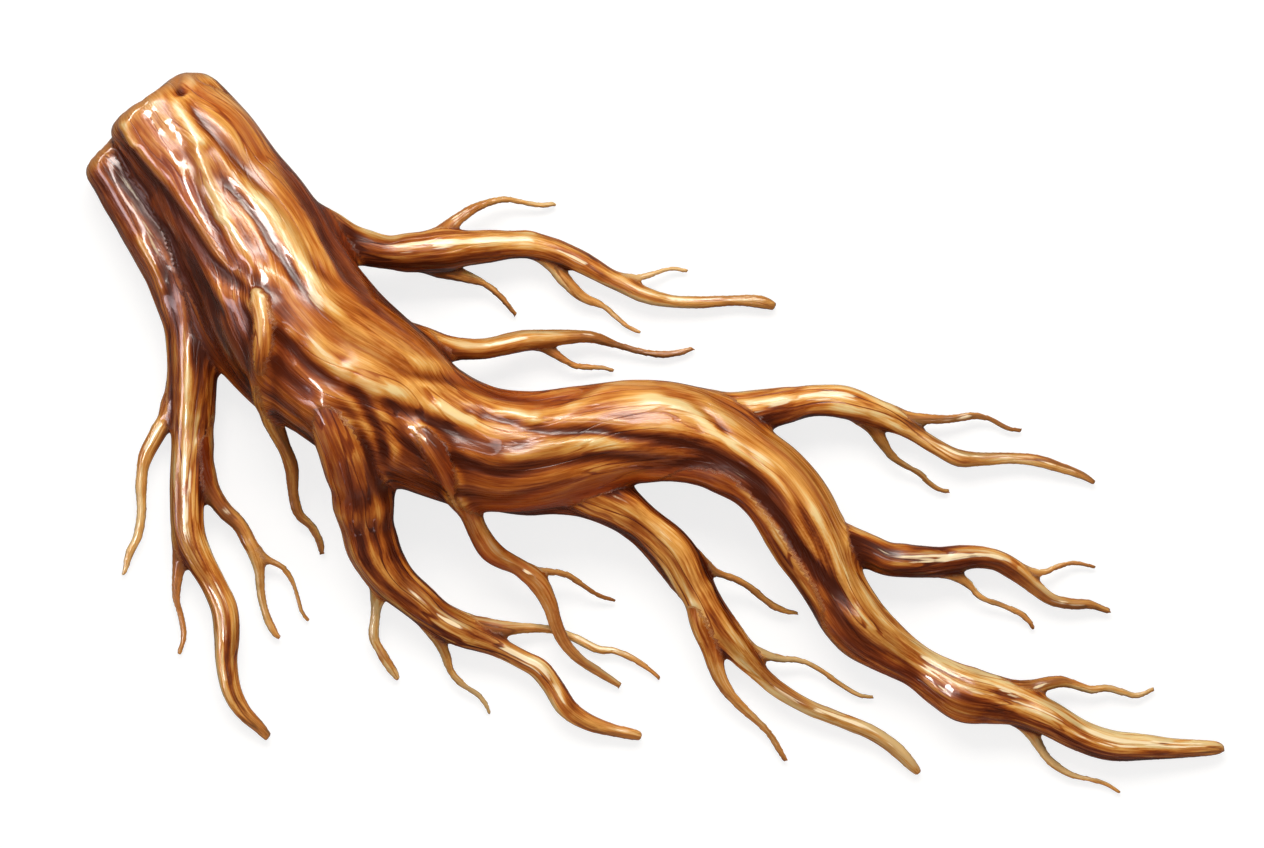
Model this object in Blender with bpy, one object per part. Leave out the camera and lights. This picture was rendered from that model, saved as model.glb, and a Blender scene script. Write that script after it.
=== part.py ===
"""A branching woody taproot, as dug and washed, lying on a flat surface.

Metres, +Z up. The root lies along +X, from the cut crown at -X to the tip at +X. The origin is the
middle of the bounding box, at the height of the surface that the root lies on.

Each root is a tube: a curve through a few points, with its own radius at each point. All the tubes
are then joined into the single body that grew.
"""

import math
from dataclasses import dataclass

import bmesh
import bpy
import numpy as np
from mathutils import Vector

MM = 0.001

# Driving dimensions, in millimetres
TAPROOT_LENGTH = 318.0  # from the crown's cut end to the tip, along X
ROOT_SPREAD = 162.0  # across Y, over the tips of the side roots
TAPROOT_DIAMETER = 40.4  # the thickest that the taproot gets; heights follow it
SIDE_ROOT_DIAMETER = 9.4  # the upper side root's, where it leaves the taproot
ROOTLET_DIAMETER = 3.6  # the longest rootlet's, where it leaves its side root
CROSSING_GAP = 1.2  # left where one root passes over another
LOBE_DEPTH = 0.055  # share of the radius that the taproot's ridges stand out by
LOBES = 5  # ridges round the taproot
TWIST_PITCH = 420.0  # length in which the ridges turn once round

# The sizes that the courses below are drawn at
DRAWN_LENGTH = 318.0
DRAWN_SPREAD = 162.0
DRAWN_TAPROOT = 40.4
DRAWN_SIDE_ROOT = 9.4
DRAWN_ROOTLET = 3.6

TAP_SIDES, SIDE_SIDES, ROOTLET_SIDES = 20, 8, 6
STEP_PER_RADIUS = 0.6
SHORTEST_STEP = 5.0
WELD = 1e-6
SAMPLES_PER_SPAN = 24


@dataclass(frozen=True)
class Root:
    """One root or rootlet.

    course holds (x, y, lift, radius) at each point, in millimetres: lift is the gap left under the
    root, so that 0 lies on the surface. The first point lies inside the root that it grows from.
    """

    name: str
    kind: str
    course: tuple


COURSES = (
    Root("taproot", "tap", (
        (-144.4, 11.8, 9.6, 8.4), (-143.2, 11.3, 6.2, 11.8), (-140, 10, 4.2, 13.8), (-136, 8.6, 3.2, 14.6),
        (-125.5, 3.5, 2.5, 15), (-115.4, -1.5, 1.5, 16), (-106.5, -6, 0.5, 17.6), (-99, -10.5, 0, 19),
        (-92, -15, 0, 20), (-84, -19.5, 0, 20.2), (-75, -22.8, 0, 19.4), (-65, -24.6, 0, 18.8),
        (-55, -25.4, 0, 17.8), (-45, -26, 0.3, 16.6), (-35, -25, 0.8, 15.8), (-27, -22.6, 1, 15.2),
        (-18, -17.5, 1.2, 14.8), (-9, -9.5, 1.4, 13.8), (0, -1.5, 1.6, 12.6), (9, 4, 1.8, 11.8),
        (18, 6.6, 3, 10.4), (27, 6.3, 3.5, 9.6), (36, 5, 3, 9.6), (45, 1.5, 2.6, 9.4),
        (54, -3.8, 2.4, 8.4), (63, -9.5, 2.2, 7.5), (72, -14, 1.4, 7.4), (82, -16, 0.8, 6.4),
        (91, -16.8, 0.3, 5.5), (99, -17.2, 0, 6.2), (105, -17, 0, 6.8), (111, -15.2, 0.3, 6),
        (118, -13, 0.8, 5), (126, -11.7, 1.2, 4.7), (135, -11.5, 1.5, 3.9), (143, -9.8, 1.3, 3.5),
        (150, -6.3, 1, 3), (157, -2.7, 0.6, 2.4), (163, 0.9, 0.2, 2.1), (166.6, 3, 0, 1.7), (168, 3.9, 0.4, 0.8),
    )),
    Root("second_stem", "tap", (
        (-149.2, -7, 3, 4.6), (-148, -7.4, 1, 6.6), (-145, -8.4, 0.2, 7.8), (-139, -11, 0, 8),
        (-133, -14, 0, 8.2), (-127.5, -17.3, 0, 8.5), (-122, -20.8, 0, 8.5), (-117, -24.5, 0, 8),
        (-112, -29, 0, 7.5), (-107.5, -34, 0.3, 6.8), (-104, -39.5, 0.8, 6.3), (-100.5, -45.5, 1, 6),
        (-97.5, -51.5, 1.2, 5.3), (-94.3, -58, 1.3, 4.8), (-91, -65, 1.4, 4.5), (-87.5, -71.5, 1.5, 4.4),
        (-83, -78.4, 1.6, 4.2), (-77.5, -83, 1.6, 3.7), (-71, -87, 1.4, 3.3), (-65.5, -91, 1.2, 3.5),
        (-61.5, -96.5, 1, 3.4), (-58.5, -102, 0.8, 2.9), (-54, -107.5, 0.5, 2.6), (-49, -110.7, 0.2, 2.1),
        (-43.5, -112.2, 0, 1.6), (-39.8, -113.4, 0, 1.1),
    )),
    Root("lower_strand", "tap", (
        (-126, -11, 3, 6), (-117, -17, 2, 7.5), (-108, -23, 1, 8.5), (-99, -28.5, 0.3, 8.8),
        (-91, -32, 0, 8.6), (-83, -34.3, 0, 8.2), (-74, -35.5, 0, 7.6), (-65, -36.3, 0.4, 7),
        (-56, -36.5, 1, 6.5), (-48, -36, 1.5, 6.5), (-40, -34.5, 1.8, 6.8), (-31, -32, 2, 6.6),
        (-22, -29.8, 2.6, 6), (-14, -28, 3.2, 5.4), (-8, -25.3, 4, 4.5), (-1, -22.6, 5, 4),
        (7, -21.6, 5.5, 3.6), (15, -22.6, 5, 3.2), (23, -25.5, 4, 2.8), (31, -29, 3.6, 2.4),
    )),
    Root("lower_root", "side", (
        (-24, -24.5, 6, 8), (-16, -22, 6, 7.5), (-8, -20, 7, 6.2), (0, -19.3, 8.2, 5.4),
        (8, -18.9, 8, 5), (17, -20.2, 7, 4.8), (25, -22.6, 5.8, 4.9), (33, -27, 4.4, 4.6),
        (41, -31.4, 3.4, 4.2), (48, -34.5, 3, 3.4), (55, -37, 2.6, 2.8), (63, -38.9, 2, 2.4),
        (72, -39.2, 1.6, 2.3), (81, -38, 1.1, 2), (89, -36.9, 0.8, 1.8), (96, -37.2, 0.4, 1.7),
        (102, -38.8, 0, 1.5), (105.2, -40, 0, 1),
    )),
    Root("bend_strand", "side", (
        (4, -9, 8, 3.8), (12, -4.8, 11, 3.5), (20, -1, 12.5, 3.2), (28, 0.2, 12.5, 3.1), (36, -0.8, 11.5, 3.1),
        (44, -4.6, 9.5, 3.3), (50, -7.4, 7.6, 3.5), (57, -10, 5.6, 3.4), (63, -13.2, 3.6, 3.3),
        (69, -17, 1.5, 3.2), (76, -18.7, 0.5, 3), (86, -18.3, 0.3, 2.6),
    )),
    Root("middle_root", "side", (
        (-73, -28, 20, 6), (-68, -32, 22.5, 6.6), (-62, -36.5, 18.5, 7.4), (-55.5, -43, 12, 7.5),
        (-50, -49.5, 7.4, 6.9), (-44.5, -55.3, 4.8, 6.2), (-38.5, -60.3, 3.4, 5.5), (-32, -63.4, 2.9, 4.8),
        (-25, -64.9, 2.7, 4.2), (-18, -65.8, 2.5, 3.9), (-10, -65.7, 2.3, 3.5), (-2, -65, 2, 2.9),
        (5, -64.8, 1.7, 2.7), (10, -64.7, 1.5, 2.8), (15.5, -66.7, 1.2, 2.6), (21, -69.3, 0.8, 2.6),
        (27, -70, 0.5, 2.1), (33, -69, 0.2, 1.6), (38, -67.4, 0, 1.4), (40.6, -66.6, 0, 0.9),
    )),
    Root("back_root", "side", (
        (-102, -3, 9, 6), (-95.5, 0.8, 9, 5.6), (-89, 3, 8.6, 5), (-82, 4.2, 8, 4.7),
        (-75.5, 6, 7, 4.6), (-69, 9.7, 5.8, 4.7), (-63, 13.7, 4.8, 4.6), (-57, 18, 4, 4.1),
        (-51, 22.4, 3.3, 3.7), (-45, 25.7, 2.8, 3.4), (-38, 27.6, 2.3, 3.2), (-30, 28.5, 2, 2.7),
        (-22, 28.7, 1.7, 2.2), (-14.5, 29, 1.4, 2.3), (-8, 31, 1.1, 1.9), (-2, 34.2, 0.8, 1.8),
        (4, 38, 0.5, 1.6), (9, 41, 0.2, 1.5), (13, 42.6, 0, 1.4), (16, 43, 0, 0.9),
    )),
    Root("far_root", "side", (
        (8, 6, 7, 6), (14, 10.5, 6, 5.6), (19.5, 14.5, 5.4, 5), (25, 18.7, 5, 4.6),
        (30.8, 23.2, 4.5, 4.4), (36, 27.5, 4.1, 4), (41.3, 30.7, 3.7, 3.7), (47.5, 32.3, 3.4, 3.3),
        (54, 33, 3, 2.9), (61, 33, 2.6, 2.1), (68, 32.8, 2.2, 2.1), (74, 33.1, 1.8, 2.3),
        (79, 35.6, 1.4, 2), (85, 39.3, 1, 1.8), (91, 42.2, 0.6, 1.7), (97, 43.9, 0.3, 1.5),
        (103, 45, 0, 1.2), (107.2, 44.8, 0, 0.8),
    )),
    Root("right_root", "side", (
        (54, -3, 5, 5.4), (60, 0.5, 5, 4.7), (66, 2.1, 4.7, 4), (71, 2.7, 4.4, 3.9),
        (75.5, 4.7, 4, 3.8), (80, 7.4, 3.6, 3.6), (85, 10.6, 3.2, 3.2), (90, 13.6, 2.8, 2.8),
        (95.5, 15.6, 2.4, 2.6), (101, 15.6, 2, 2.2), (107, 14.7, 1.6, 1.9), (112, 14.2, 1.2, 1.9),
        (117, 15.8, 0.8, 1.7), (121, 18, 0.4, 1.4), (126.5, 19.1, 0, 0.8),
    )),
    Root("inner_root", "side", (
        (-64.5, -13, 10, 4.2), (-58.5, -10.2, 10, 3.8), (-53, -7.9, 9, 3.4), (-47.5, -5.5, 7.8, 3.2),
        (-42.5, -2.7, 6.6, 3), (-38, 1, 5.4, 2.8), (-34, 4.6, 4.4, 2.7), (-30, 7.6, 3.6, 2.4),
        (-25, 11, 2.8, 1.9), (-20, 13.7, 2, 1.6), (-14, 15, 1.4, 1.2), (-8, 16.5, 0.9, 1),
        (-3, 18.5, 0.5, 1), (1, 21.5, 0.2, 0.9), (3.4, 24.2, 0, 0.7),
    )),
    Root("over_root", "rootlet", (
        (-50, -26, 25, 3.2), (-44, -28, 29, 3), (-38, -30.5, 28.4, 2.9), (-32, -34, 24, 2.8),
        (-26.5, -38.3, 16.5, 2.7), (-20.5, -42.3, 11, 2.6), (-14, -45, 8.8, 2.8), (-7, -45.3, 7.6, 2.3),
        (-1, -46.2, 6.6, 2.2), (4, -49, 5.6, 2.1), (8.5, -53, 4.5, 1.9), (13, -56, 3, 1.6),
        (18, -57.6, 1.4, 1.4), (24, -58, 0.4, 1.2), (30, -58.3, 0, 0.9),
    )),
    Root("trunk_rootlet", "rootlet", (
        (-99, -18.5, 28, 3), (-94.3, -21, 34, 2.9), (-90.5, -24, 35.6, 2.6), (-87.5, -28.5, 35, 2.3),
        (-85.5, -34, 30.5, 2.1), (-82.5, -39.5, 23.5, 2.1), (-78.5, -44, 14.5, 2.1), (-73.5, -47.8, 9, 2),
        (-68.5, -52, 5.8, 1.8), (-64.8, -57.5, 3.4, 1.5), (-61.3, -61, 2, 1.3), (-57, -62.2, 1.1, 1.1),
        (-53.5, -64.5, 0.4, 1), (-51.2, -67.2, 0, 0.7),
    )),
    Root("left_rootlet_outer", "rootlet", (
        (-105, -40, 3.5, 3.6), (-103.2, -48, 3, 3), (-101.8, -55, 2.6, 2.4), (-102, -62, 2.2, 1.9),
        (-101.6, -68, 1.8, 1.8), (-99, -74.5, 1.4, 1.6), (-95.8, -80, 1, 1.5), (-93.4, -86, 0.6, 1.3),
        (-93, -91, 0.3, 1.1), (-91.5, -96.5, 0, 0.7),
    )),
    Root("left_rootlet_inner", "rootlet", (
        (-97, -49, 3, 3.6), (-93.5, -54.5, 3, 3.4), (-89.5, -60.5, 3, 3.1), (-84.5, -66, 2.9, 2.7),
        (-78.5, -69.3, 2.7, 2.2), (-73, -70.8, 2.4, 1.9), (-69.3, -73, 2.1, 1.6), (-65.8, -75.5, 1.7, 1.5),
        (-62.8, -78.5, 1.3, 1.3), (-60, -82.5, 0.9, 1.2), (-56.5, -86.5, 0.5, 1.1), (-52.5, -89.5, 0.2, 1),
        (-49.8, -90.6, 0, 0.7),
    )),
    Root("left_rootlet_fork", "rootlet", (
        (-68, -73.8, 2.4, 1.2), (-62.5, -74.8, 2, 1), (-58, -74.6, 1.6, 0.9), (-54.3, -76.6, 1.1, 0.8),
        (-51, -79.6, 0.7, 0.7), (-48.5, -82, 0.3, 0.6), (-45.8, -83.2, 0, 0.5),
    )),
    Root("left_rootlet_low", "rootlet", (
        (-84.4, -78.5, 2.6, 2.3), (-81.3, -86, 1.8, 1.7), (-79.5, -90.5, 1.2, 1.3), (-77.3, -94.6, 0.8, 1.1),
        (-74, -98, 0.5, 0.9), (-71.3, -101.5, 0.3, 0.8), (-70.2, -104.5, 0.1, 0.7), (-70, -107, 0, 0.5),
    )),
    Root("middle_rootlet_first", "rootlet", (
        (-38, -61, 5, 2.8), (-34.5, -68, 3, 1.9), (-32.3, -73, 2.2, 1.5), (-29.8, -78.3, 1.5, 1.4),
        (-26, -81, 1, 1.3), (-22, -83.3, 0.4, 1.1), (-19, -84.7, 0, 0.7),
    )),
    Root("middle_rootlet_second", "rootlet", (
        (-23, -66.2, 3.6, 2.5), (-17, -70, 2.5, 1.8), (-12.5, -73.2, 1.8, 1.3), (-8.5, -76.4, 1.2, 1.1),
        (-4, -77.7, 0.8, 1), (0, -78, 0.5, 0.9), (3, -79.2, 0.2, 0.8), (5.2, -80.9, 0, 0.5),
    )),
    Root("middle_rootlet_under", "rootlet", (
        (-16, -65, 3.5, 2.4), (-8.5, -62.2, 2.8, 2), (-3, -60.3, 2, 1.9), (2, -57.5, 1.2, 1.5),
        (7, -55, 0.5, 1.3), (13, -53.7, 0.2, 1.1), (20, -53.2, 0.2, 1.1), (24, -51.4, 0.3, 0.9),
        (29, -50.7, 0.2, 0.8), (34, -51, 0.1, 0.7), (37.8, -51.9, 0, 0.5),
    )),
    Root("over_rootlet", "rootlet", (
        (-9, -45, 8.2, 1.5), (-3, -43.6, 7, 1.2), (3, -41.1, 5.2, 1), (8, -41, 3.5, 0.9),
        (13, -41.4, 1.6, 0.8), (18, -40.5, 0, 0.6),
    )),
    Root("lower_rootlet_fork", "rootlet", (
        (35, -28, 6, 3.2), (40.5, -35, 4.5, 3), (44.5, -39.3, 3.5, 2.6), (48.5, -43, 2.7, 2.1),
        (53, -45.8, 2, 1.8), (58, -47.6, 1.3, 1.5), (63.5, -48.8, 0.8, 1.2), (68, -50, 0.5, 1.1),
        (72, -52.2, 0.2, 0.9), (75, -53.9, 0, 0.6),
    )),
    Root("lower_rootlet_near", "rootlet", (
        (23, -20.8, 8.2, 2.3), (30.5, -21, 7.5, 1.7), (36, -21.6, 6, 1.4), (41, -20.7, 4.6, 1.1),
        (46, -20.7, 3.4, 1), (52, -21.7, 1.9, 0.9), (56, -21.4, 0.9, 0.8), (59.2, -20.2, 0, 0.5),
    )),
    Root("lower_rootlet_far", "rootlet", (
        (45, -32.6, 4.4, 2.3), (52.5, -33.6, 3.6, 1.7), (57, -33.2, 3, 1.4), (61, -32.2, 2.4, 1.2),
        (65.3, -30.3, 1.8, 0.9), (70.5, -29.9, 1.2, 0.8), (76, -30.4, 0.7, 0.8), (82, -30.5, 0.3, 0.7),
        (86, -29, 0, 0.5),
    )),
    Root("back_rootlet_up", "rootlet", (
        (-70, 9.5, 6.5, 2.7), (-66, 15.8, 6.4, 2.1), (-64, 21, 5.8, 1.6), (-61.5, 26.3, 4.8, 1.2),
        (-58.6, 30.2, 3.7, 1), (-55.5, 32.8, 2.7, 0.9), (-51.5, 34.2, 1.7, 0.8), (-47.5, 35.7, 0.8, 0.8),
        (-44.4, 38.1, 0, 0.6),
    )),
    Root("back_rootlet_middle", "rootlet", (
        (-45, 26, 3.2, 2.4), (-38, 24.3, 2.6, 1.8), (-32.5, 22.5, 2, 1.5), (-27, 21.2, 1.4, 1.2),
        (-22, 21.8, 0.9, 0.9), (-18, 21.2, 0.5, 0.7), (-14, 20.4, 0.2, 0.6), (-10, 20.6, 0, 0.5),
    )),
    Root("back_rootlet_tip", "rootlet", (
        (-22, 29, 2.2, 1.4), (-17.3, 32.3, 2.3, 1), (-15, 34.6, 2, 0.9), (-13, 37, 1.3, 0.7),
        (-10.6, 38.9, 0.6, 0.6), (-7.3, 39.9, 0, 0.5),
    )),
    Root("back_rootlet_low", "rootlet", (
        (-68, 8.8, 5, 3.1), (-61, 9.3, 4.5, 2.3), (-55.5, 10.7, 3.5, 1.5), (-50.5, 11.6, 2.5, 1),
        (-46, 11.2, 1.6, 0.9), (-42.5, 10.1, 0.8, 0.8), (-39, 8.8, 0, 0.6),
    )),
    Root("inner_rootlet", "rootlet", (
        (-37, 2, 4.6, 1.9), (-31, 4.9, 4, 1.4), (-25.5, 5.3, 3, 1.2), (-20.5, 5.2, 2, 0.9),
        (-17, 6.7, 1.2, 0.8), (-13.6, 8.6, 0.5, 0.6), (-11, 9, 0, 0.5),
    )),
    Root("far_rootlet_up", "rootlet", (
        (51, 33, 4, 2.3), (58.5, 35.8, 3.5, 1.5), (63.5, 38.1, 2.8, 1.3), (68, 41.1, 2.1, 1.1),
        (72, 44.1, 1.4, 1), (76.2, 45.6, 0.8, 0.8), (81, 45.8, 0.4, 0.7), (84.8, 47.2, 0, 0.5),
    )),
    Root("far_rootlet_low", "rootlet", (
        (44, 31.2, 4.4, 2.5), (51, 29.3, 3.7, 1.8), (55, 27.2, 3.2, 1.5), (59.5, 25.4, 2.5, 1.2),
        (64, 25, 1.8, 1), (67.5, 25.1, 1.2, 0.9), (70.8, 24.2, 0.7, 0.8), (74, 24, 0.3, 0.7),
        (76.6, 25.1, 0, 0.5),
    )),
    Root("right_rootlet_up", "rootlet", (
        (96, 16.4, 3.4, 1.3), (102.5, 17.4, 3, 0.9), (106.8, 19, 2.3, 0.8), (109.3, 22.3, 1.5, 0.7),
        (112, 24.8, 0.8, 0.6), (115, 26, 0.3, 0.6), (117.8, 26.7, 0, 0.5),
    )),
    Root("right_rootlet_low", "rootlet", (
        (75, 4.6, 5, 2.9), (82, 6.4, 4.2, 1.9), (87.5, 7.4, 3.4, 1.4), (92, 7.2, 2.6, 1.1),
        (96.5, 5.9, 1.9, 0.9), (102, 6.9, 1.2, 0.8), (107, 7.3, 0.6, 0.8), (110, 6.7, 0.2, 0.7),
        (112.2, 5.5, 0, 0.5),
    )),
    Root("tip_rootlet_up", "rootlet", (
        (106, -14.5, 3, 3.6), (113, -11.3, 3.2, 3), (117.5, -7.9, 3.2, 2.4), (121, -4.6, 3, 2),
        (124.5, -2, 2.5, 1.5), (128.5, -1.1, 2, 1.2), (131.8, -0.3, 1.6, 1.1), (135, 2, 1.2, 1),
        (139, 3.1, 0.8, 0.9), (142.5, 4.2, 0.4, 0.8), (145.6, 7.9, 0, 0.5),
    )),
    Root("tip_rootlet_low", "rootlet", (
        (116, -14.6, 1.4, 2.5), (123.5, -17, 0.9, 1.8), (127.5, -19, 0.6, 1.4), (131, -20.7, 0.4, 1.2),
        (135, -21.3, 0.3, 1), (139, -21, 0.2, 0.9), (142.5, -19.9, 0.1, 0.8), (147, -18.8, 0, 0.6),
        (151.5, -19, 0, 0.5),
    )),
)

GIRTH = {
    "tap": TAPROOT_DIAMETER / DRAWN_TAPROOT,
    "side": SIDE_ROOT_DIAMETER / DRAWN_SIDE_ROOT,
    "rootlet": ROOTLET_DIAMETER / DRAWN_ROOTLET,
}
SIDES = {"tap": TAP_SIDES, "side": SIDE_SIDES, "rootlet": ROOTLET_SIDES}


def clear_scene():
    """Removes every object, so that the file holds the root alone."""
    for obj in list(bpy.data.objects):
        bpy.data.objects.remove(obj)


def placed(root):
    """The root's course at its real size, as rows of centre x, y, z and radius."""
    x, y, lift, radius = np.array(root.course, float).T
    radius = radius * GIRTH[root.kind]
    along = TAPROOT_LENGTH / DRAWN_LENGTH
    across = ROOT_SPREAD / DRAWN_SPREAD
    height = lift * GIRTH["tap"] + radius
    return np.column_stack((x * along, y * across, height, radius))


def smooth(rows):
    """A Catmull-Rom curve through the rows, in equal shares of each span, never below the floor."""
    ends = np.vstack((2 * rows[0] - rows[1], rows, 2 * rows[-1] - rows[-2]))
    before, start, stop, after = ends[:-3], ends[1:-2], ends[2:-1], ends[3:]
    share = (np.arange(SAMPLES_PER_SPAN) / SAMPLES_PER_SPAN)[:, None, None]
    curve = 0.5 * (
        2 * start
        + (stop - before) * share
        + (2 * before - 5 * start + 4 * stop - after) * share**2
        + (3 * start - before - 3 * stop + after) * share**3
    )
    curve = np.vstack((curve.transpose(1, 0, 2).reshape(-1, 4), rows[-1]))
    curve[:, 2] = np.maximum(curve[:, 2], curve[:, 3])
    return curve


def ringed(curve):
    """The curve's points where rings go: closer together where the root is thin."""
    lengths = np.linalg.norm(np.diff(curve[:, :3], axis=0), axis=1)
    step = np.maximum(SHORTEST_STEP, STEP_PER_RADIUS * curve[1:, 3])
    rings = np.concatenate(([0.0], np.cumsum(lengths / step)))
    wanted = np.linspace(0.0, rings[-1], max(3, round(rings[-1])) + 1)
    return np.column_stack([np.interp(wanted, rings, column) for column in curve.T])


def raised(over, under):
    """The upper root's points, lifted in a soft hump where it would lie within the crossing gap."""
    apart = np.linalg.norm(over[:, None, :2] - under[None, :, :2], axis=2)
    i, j = np.unravel_index(np.argmin(apart), apart.shape)
    needed = under[j, 2] + under[j, 3] + CROSSING_GAP + over[i, 3] - over[i, 2]
    hump = 4 * (over[i, 3] + under[j, 3])
    away = np.linalg.norm(over[:, :2] - over[i, :2], axis=1)
    lifted = over.copy()
    lifted[:, 2] += max(0.0, needed) * np.exp(-((away / hump) ** 2))
    return lifted


def ridged_profile():
    """The taproot's cross-section, one unit in radius, with low ridges round it."""
    curve = bpy.data.curves.new("ridged_profile", "CURVE")
    curve.dimensions = "2D"
    spline = curve.splines.new("POLY")
    spline.points.add(TAP_SIDES - 1)
    for i, point in enumerate(spline.points):
        turn = 2 * math.pi * i / TAP_SIDES
        radius = MM * (1 + LOBE_DEPTH * math.cos(LOBES * turn))
        point.co = (radius * math.cos(turn), radius * math.sin(turn), 0, 1)
    spline.use_cyclic_u = True
    profile = bpy.data.objects.new("ridged_profile", curve)
    profile.hide_render = True
    profile.display_type = "WIRE"
    bpy.context.collection.objects.link(profile)
    return profile


def tube(root, path, profile):
    """One root as a closed mesh: a curve along the path, as thick as each of its points says."""
    curve = bpy.data.curves.new(root.name, "CURVE")
    curve.dimensions = "3D"
    curve.use_fill_caps = True
    curve.twist_mode = "MINIMUM"
    if root.kind == "tap":
        curve.bevel_mode = "OBJECT"
        curve.bevel_object = profile
    else:
        curve.bevel_depth = MM
        curve.bevel_resolution = SIDES[root.kind] // 2 - 2
    spline = curve.splines.new("POLY")
    spline.points.add(len(path) - 1)
    run = np.concatenate(([0.0], np.cumsum(np.linalg.norm(np.diff(path[:, :3], axis=0), axis=1))))
    for point, row, gone in zip(spline.points, path, run):
        point.co = (*(row[:3] * MM), 1)
        point.radius = row[3]
        point.tilt = 2 * math.pi * gone / TWIST_PITCH
    grown = bpy.data.objects.new(root.name, curve)
    bpy.context.collection.objects.link(grown)
    bpy.context.view_layer.update()
    mesh = bpy.data.meshes.new_from_object(grown.evaluated_get(bpy.context.evaluated_depsgraph_get()))
    bpy.data.objects.remove(grown)
    return welded(mesh)


def welded(mesh):
    """The mesh with its caps joined to its sides, and in triangles, so that every face is flat."""
    work = bmesh.new()
    work.from_mesh(mesh)
    bmesh.ops.remove_doubles(work, verts=work.verts, dist=WELD)
    bmesh.ops.recalc_face_normals(work, faces=work.faces)
    bmesh.ops.triangulate(work, faces=work.faces)
    work.to_mesh(mesh)
    work.free()
    return mesh


def grow_tubes():
    """Every root's mesh object, the taproot first."""
    profile = ridged_profile()
    paths = {root.name: smooth(placed(root)) for root in COURSES}
    paths["over_root"] = raised(paths["over_root"], paths["middle_rootlet_under"])
    tubes = []
    for root in COURSES:
        mesh = tube(root, ringed(paths[root.name]), profile)
        tubes.append(bpy.data.objects.new(root.name, mesh))
    bpy.data.objects.remove(profile)
    return tubes


def joined(tubes):
    """One mesh of all the tubes, with what lies inside another tube removed."""
    body = tubes[0]
    bpy.context.collection.objects.link(body)
    for branch in tubes[1:]:
        bpy.context.collection.objects.link(branch)
        union = body.modifiers.new("join", "BOOLEAN")
        union.operation = "UNION"
        union.object = branch
        union.solver = "EXACT"
        bpy.context.view_layer.update()
        graph = bpy.context.evaluated_depsgraph_get()
        mesh = bpy.data.meshes.new_from_object(body.evaluated_get(graph))
        body.modifiers.clear()
        body.data = mesh
        bpy.data.objects.remove(branch)
    bpy.data.objects.remove(body)
    return mesh


def centred(mesh):
    """The mesh moved so that the origin is below the middle of its box, at its lowest point."""
    corners = np.empty(len(mesh.vertices) * 3)
    mesh.vertices.foreach_get("co", corners)
    corners = corners.reshape(-1, 3)
    low, high = corners.min(axis=0), corners.max(axis=0)
    middle = np.array(((low[0] + high[0]) / 2, (low[1] + high[1]) / 2, low[2]))
    mesh.vertices.foreach_set("co", (corners - middle).ravel())
    mesh.update()
    return mesh


def bark():
    """Glossy honey-brown skin of a washed root."""
    material = bpy.data.materials.new("root_skin")
    material.use_nodes = True
    shader = material.node_tree.nodes["Principled BSDF"]
    shader.inputs["Base Color"].default_value = (0.36, 0.13, 0.025, 1)
    shader.inputs["Roughness"].default_value = 0.3
    shader.inputs["Metallic"].default_value = 0.0
    return material


def main():
    clear_scene()
    mesh = centred(joined(grow_tubes()))
    mesh.shade_smooth()
    mesh.materials.clear()
    mesh.materials.append(bark())
    mesh.name = "root"
    bpy.context.collection.objects.link(bpy.data.objects.new("root", mesh))


main()
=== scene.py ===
"""A branching woody taproot lying on a pale studio floor.

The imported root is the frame: its box and its one body come from it. The skin shown is built here, finer
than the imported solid. Every root is a profile carried along a path; the profiles are fused into one skin,
which is settled on the soft union of them all, and then ridged, creased and painted along the grain.
"""

import logging
import math
import zlib
from dataclasses import dataclass, field
from enum import Enum
from itertools import product
from typing import Any, Sequence, Union

import bpy
import numpy as np
from mathutils import Matrix, Vector


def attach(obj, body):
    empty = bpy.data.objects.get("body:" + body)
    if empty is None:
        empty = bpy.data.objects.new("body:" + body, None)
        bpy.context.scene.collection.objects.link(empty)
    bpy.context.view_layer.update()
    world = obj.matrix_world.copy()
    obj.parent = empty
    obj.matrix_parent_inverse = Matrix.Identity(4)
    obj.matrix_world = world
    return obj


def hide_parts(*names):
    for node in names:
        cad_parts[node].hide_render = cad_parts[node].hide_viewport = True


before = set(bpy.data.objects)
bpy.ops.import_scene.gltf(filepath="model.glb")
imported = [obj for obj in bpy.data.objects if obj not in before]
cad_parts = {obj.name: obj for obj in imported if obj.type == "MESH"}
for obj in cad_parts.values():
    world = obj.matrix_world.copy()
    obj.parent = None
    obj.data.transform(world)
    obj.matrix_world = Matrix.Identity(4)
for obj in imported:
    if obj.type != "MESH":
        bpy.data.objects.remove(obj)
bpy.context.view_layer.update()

LOG = logging.getLogger("branching_root")
Array = np.ndarray
MM = 0.001
BODY = "root"


class Kind(Enum):
    """What a course is, which sets how finely it is made."""

    STEM = "stem"
    SIDE = "side"
    ROOTLET = "rootlet"


@dataclass(frozen=True)
class Course:
    """The way one root takes, in the plan that the root was laid out in.

    Args:
        name: The root's name.
        kind: What the root is.
        points: Rows of x, y, the gap left under the root, and its radius, in millimetres.
    """

    name: str
    kind: Kind
    points: Sequence[tuple[float, float, float, float]]


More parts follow.
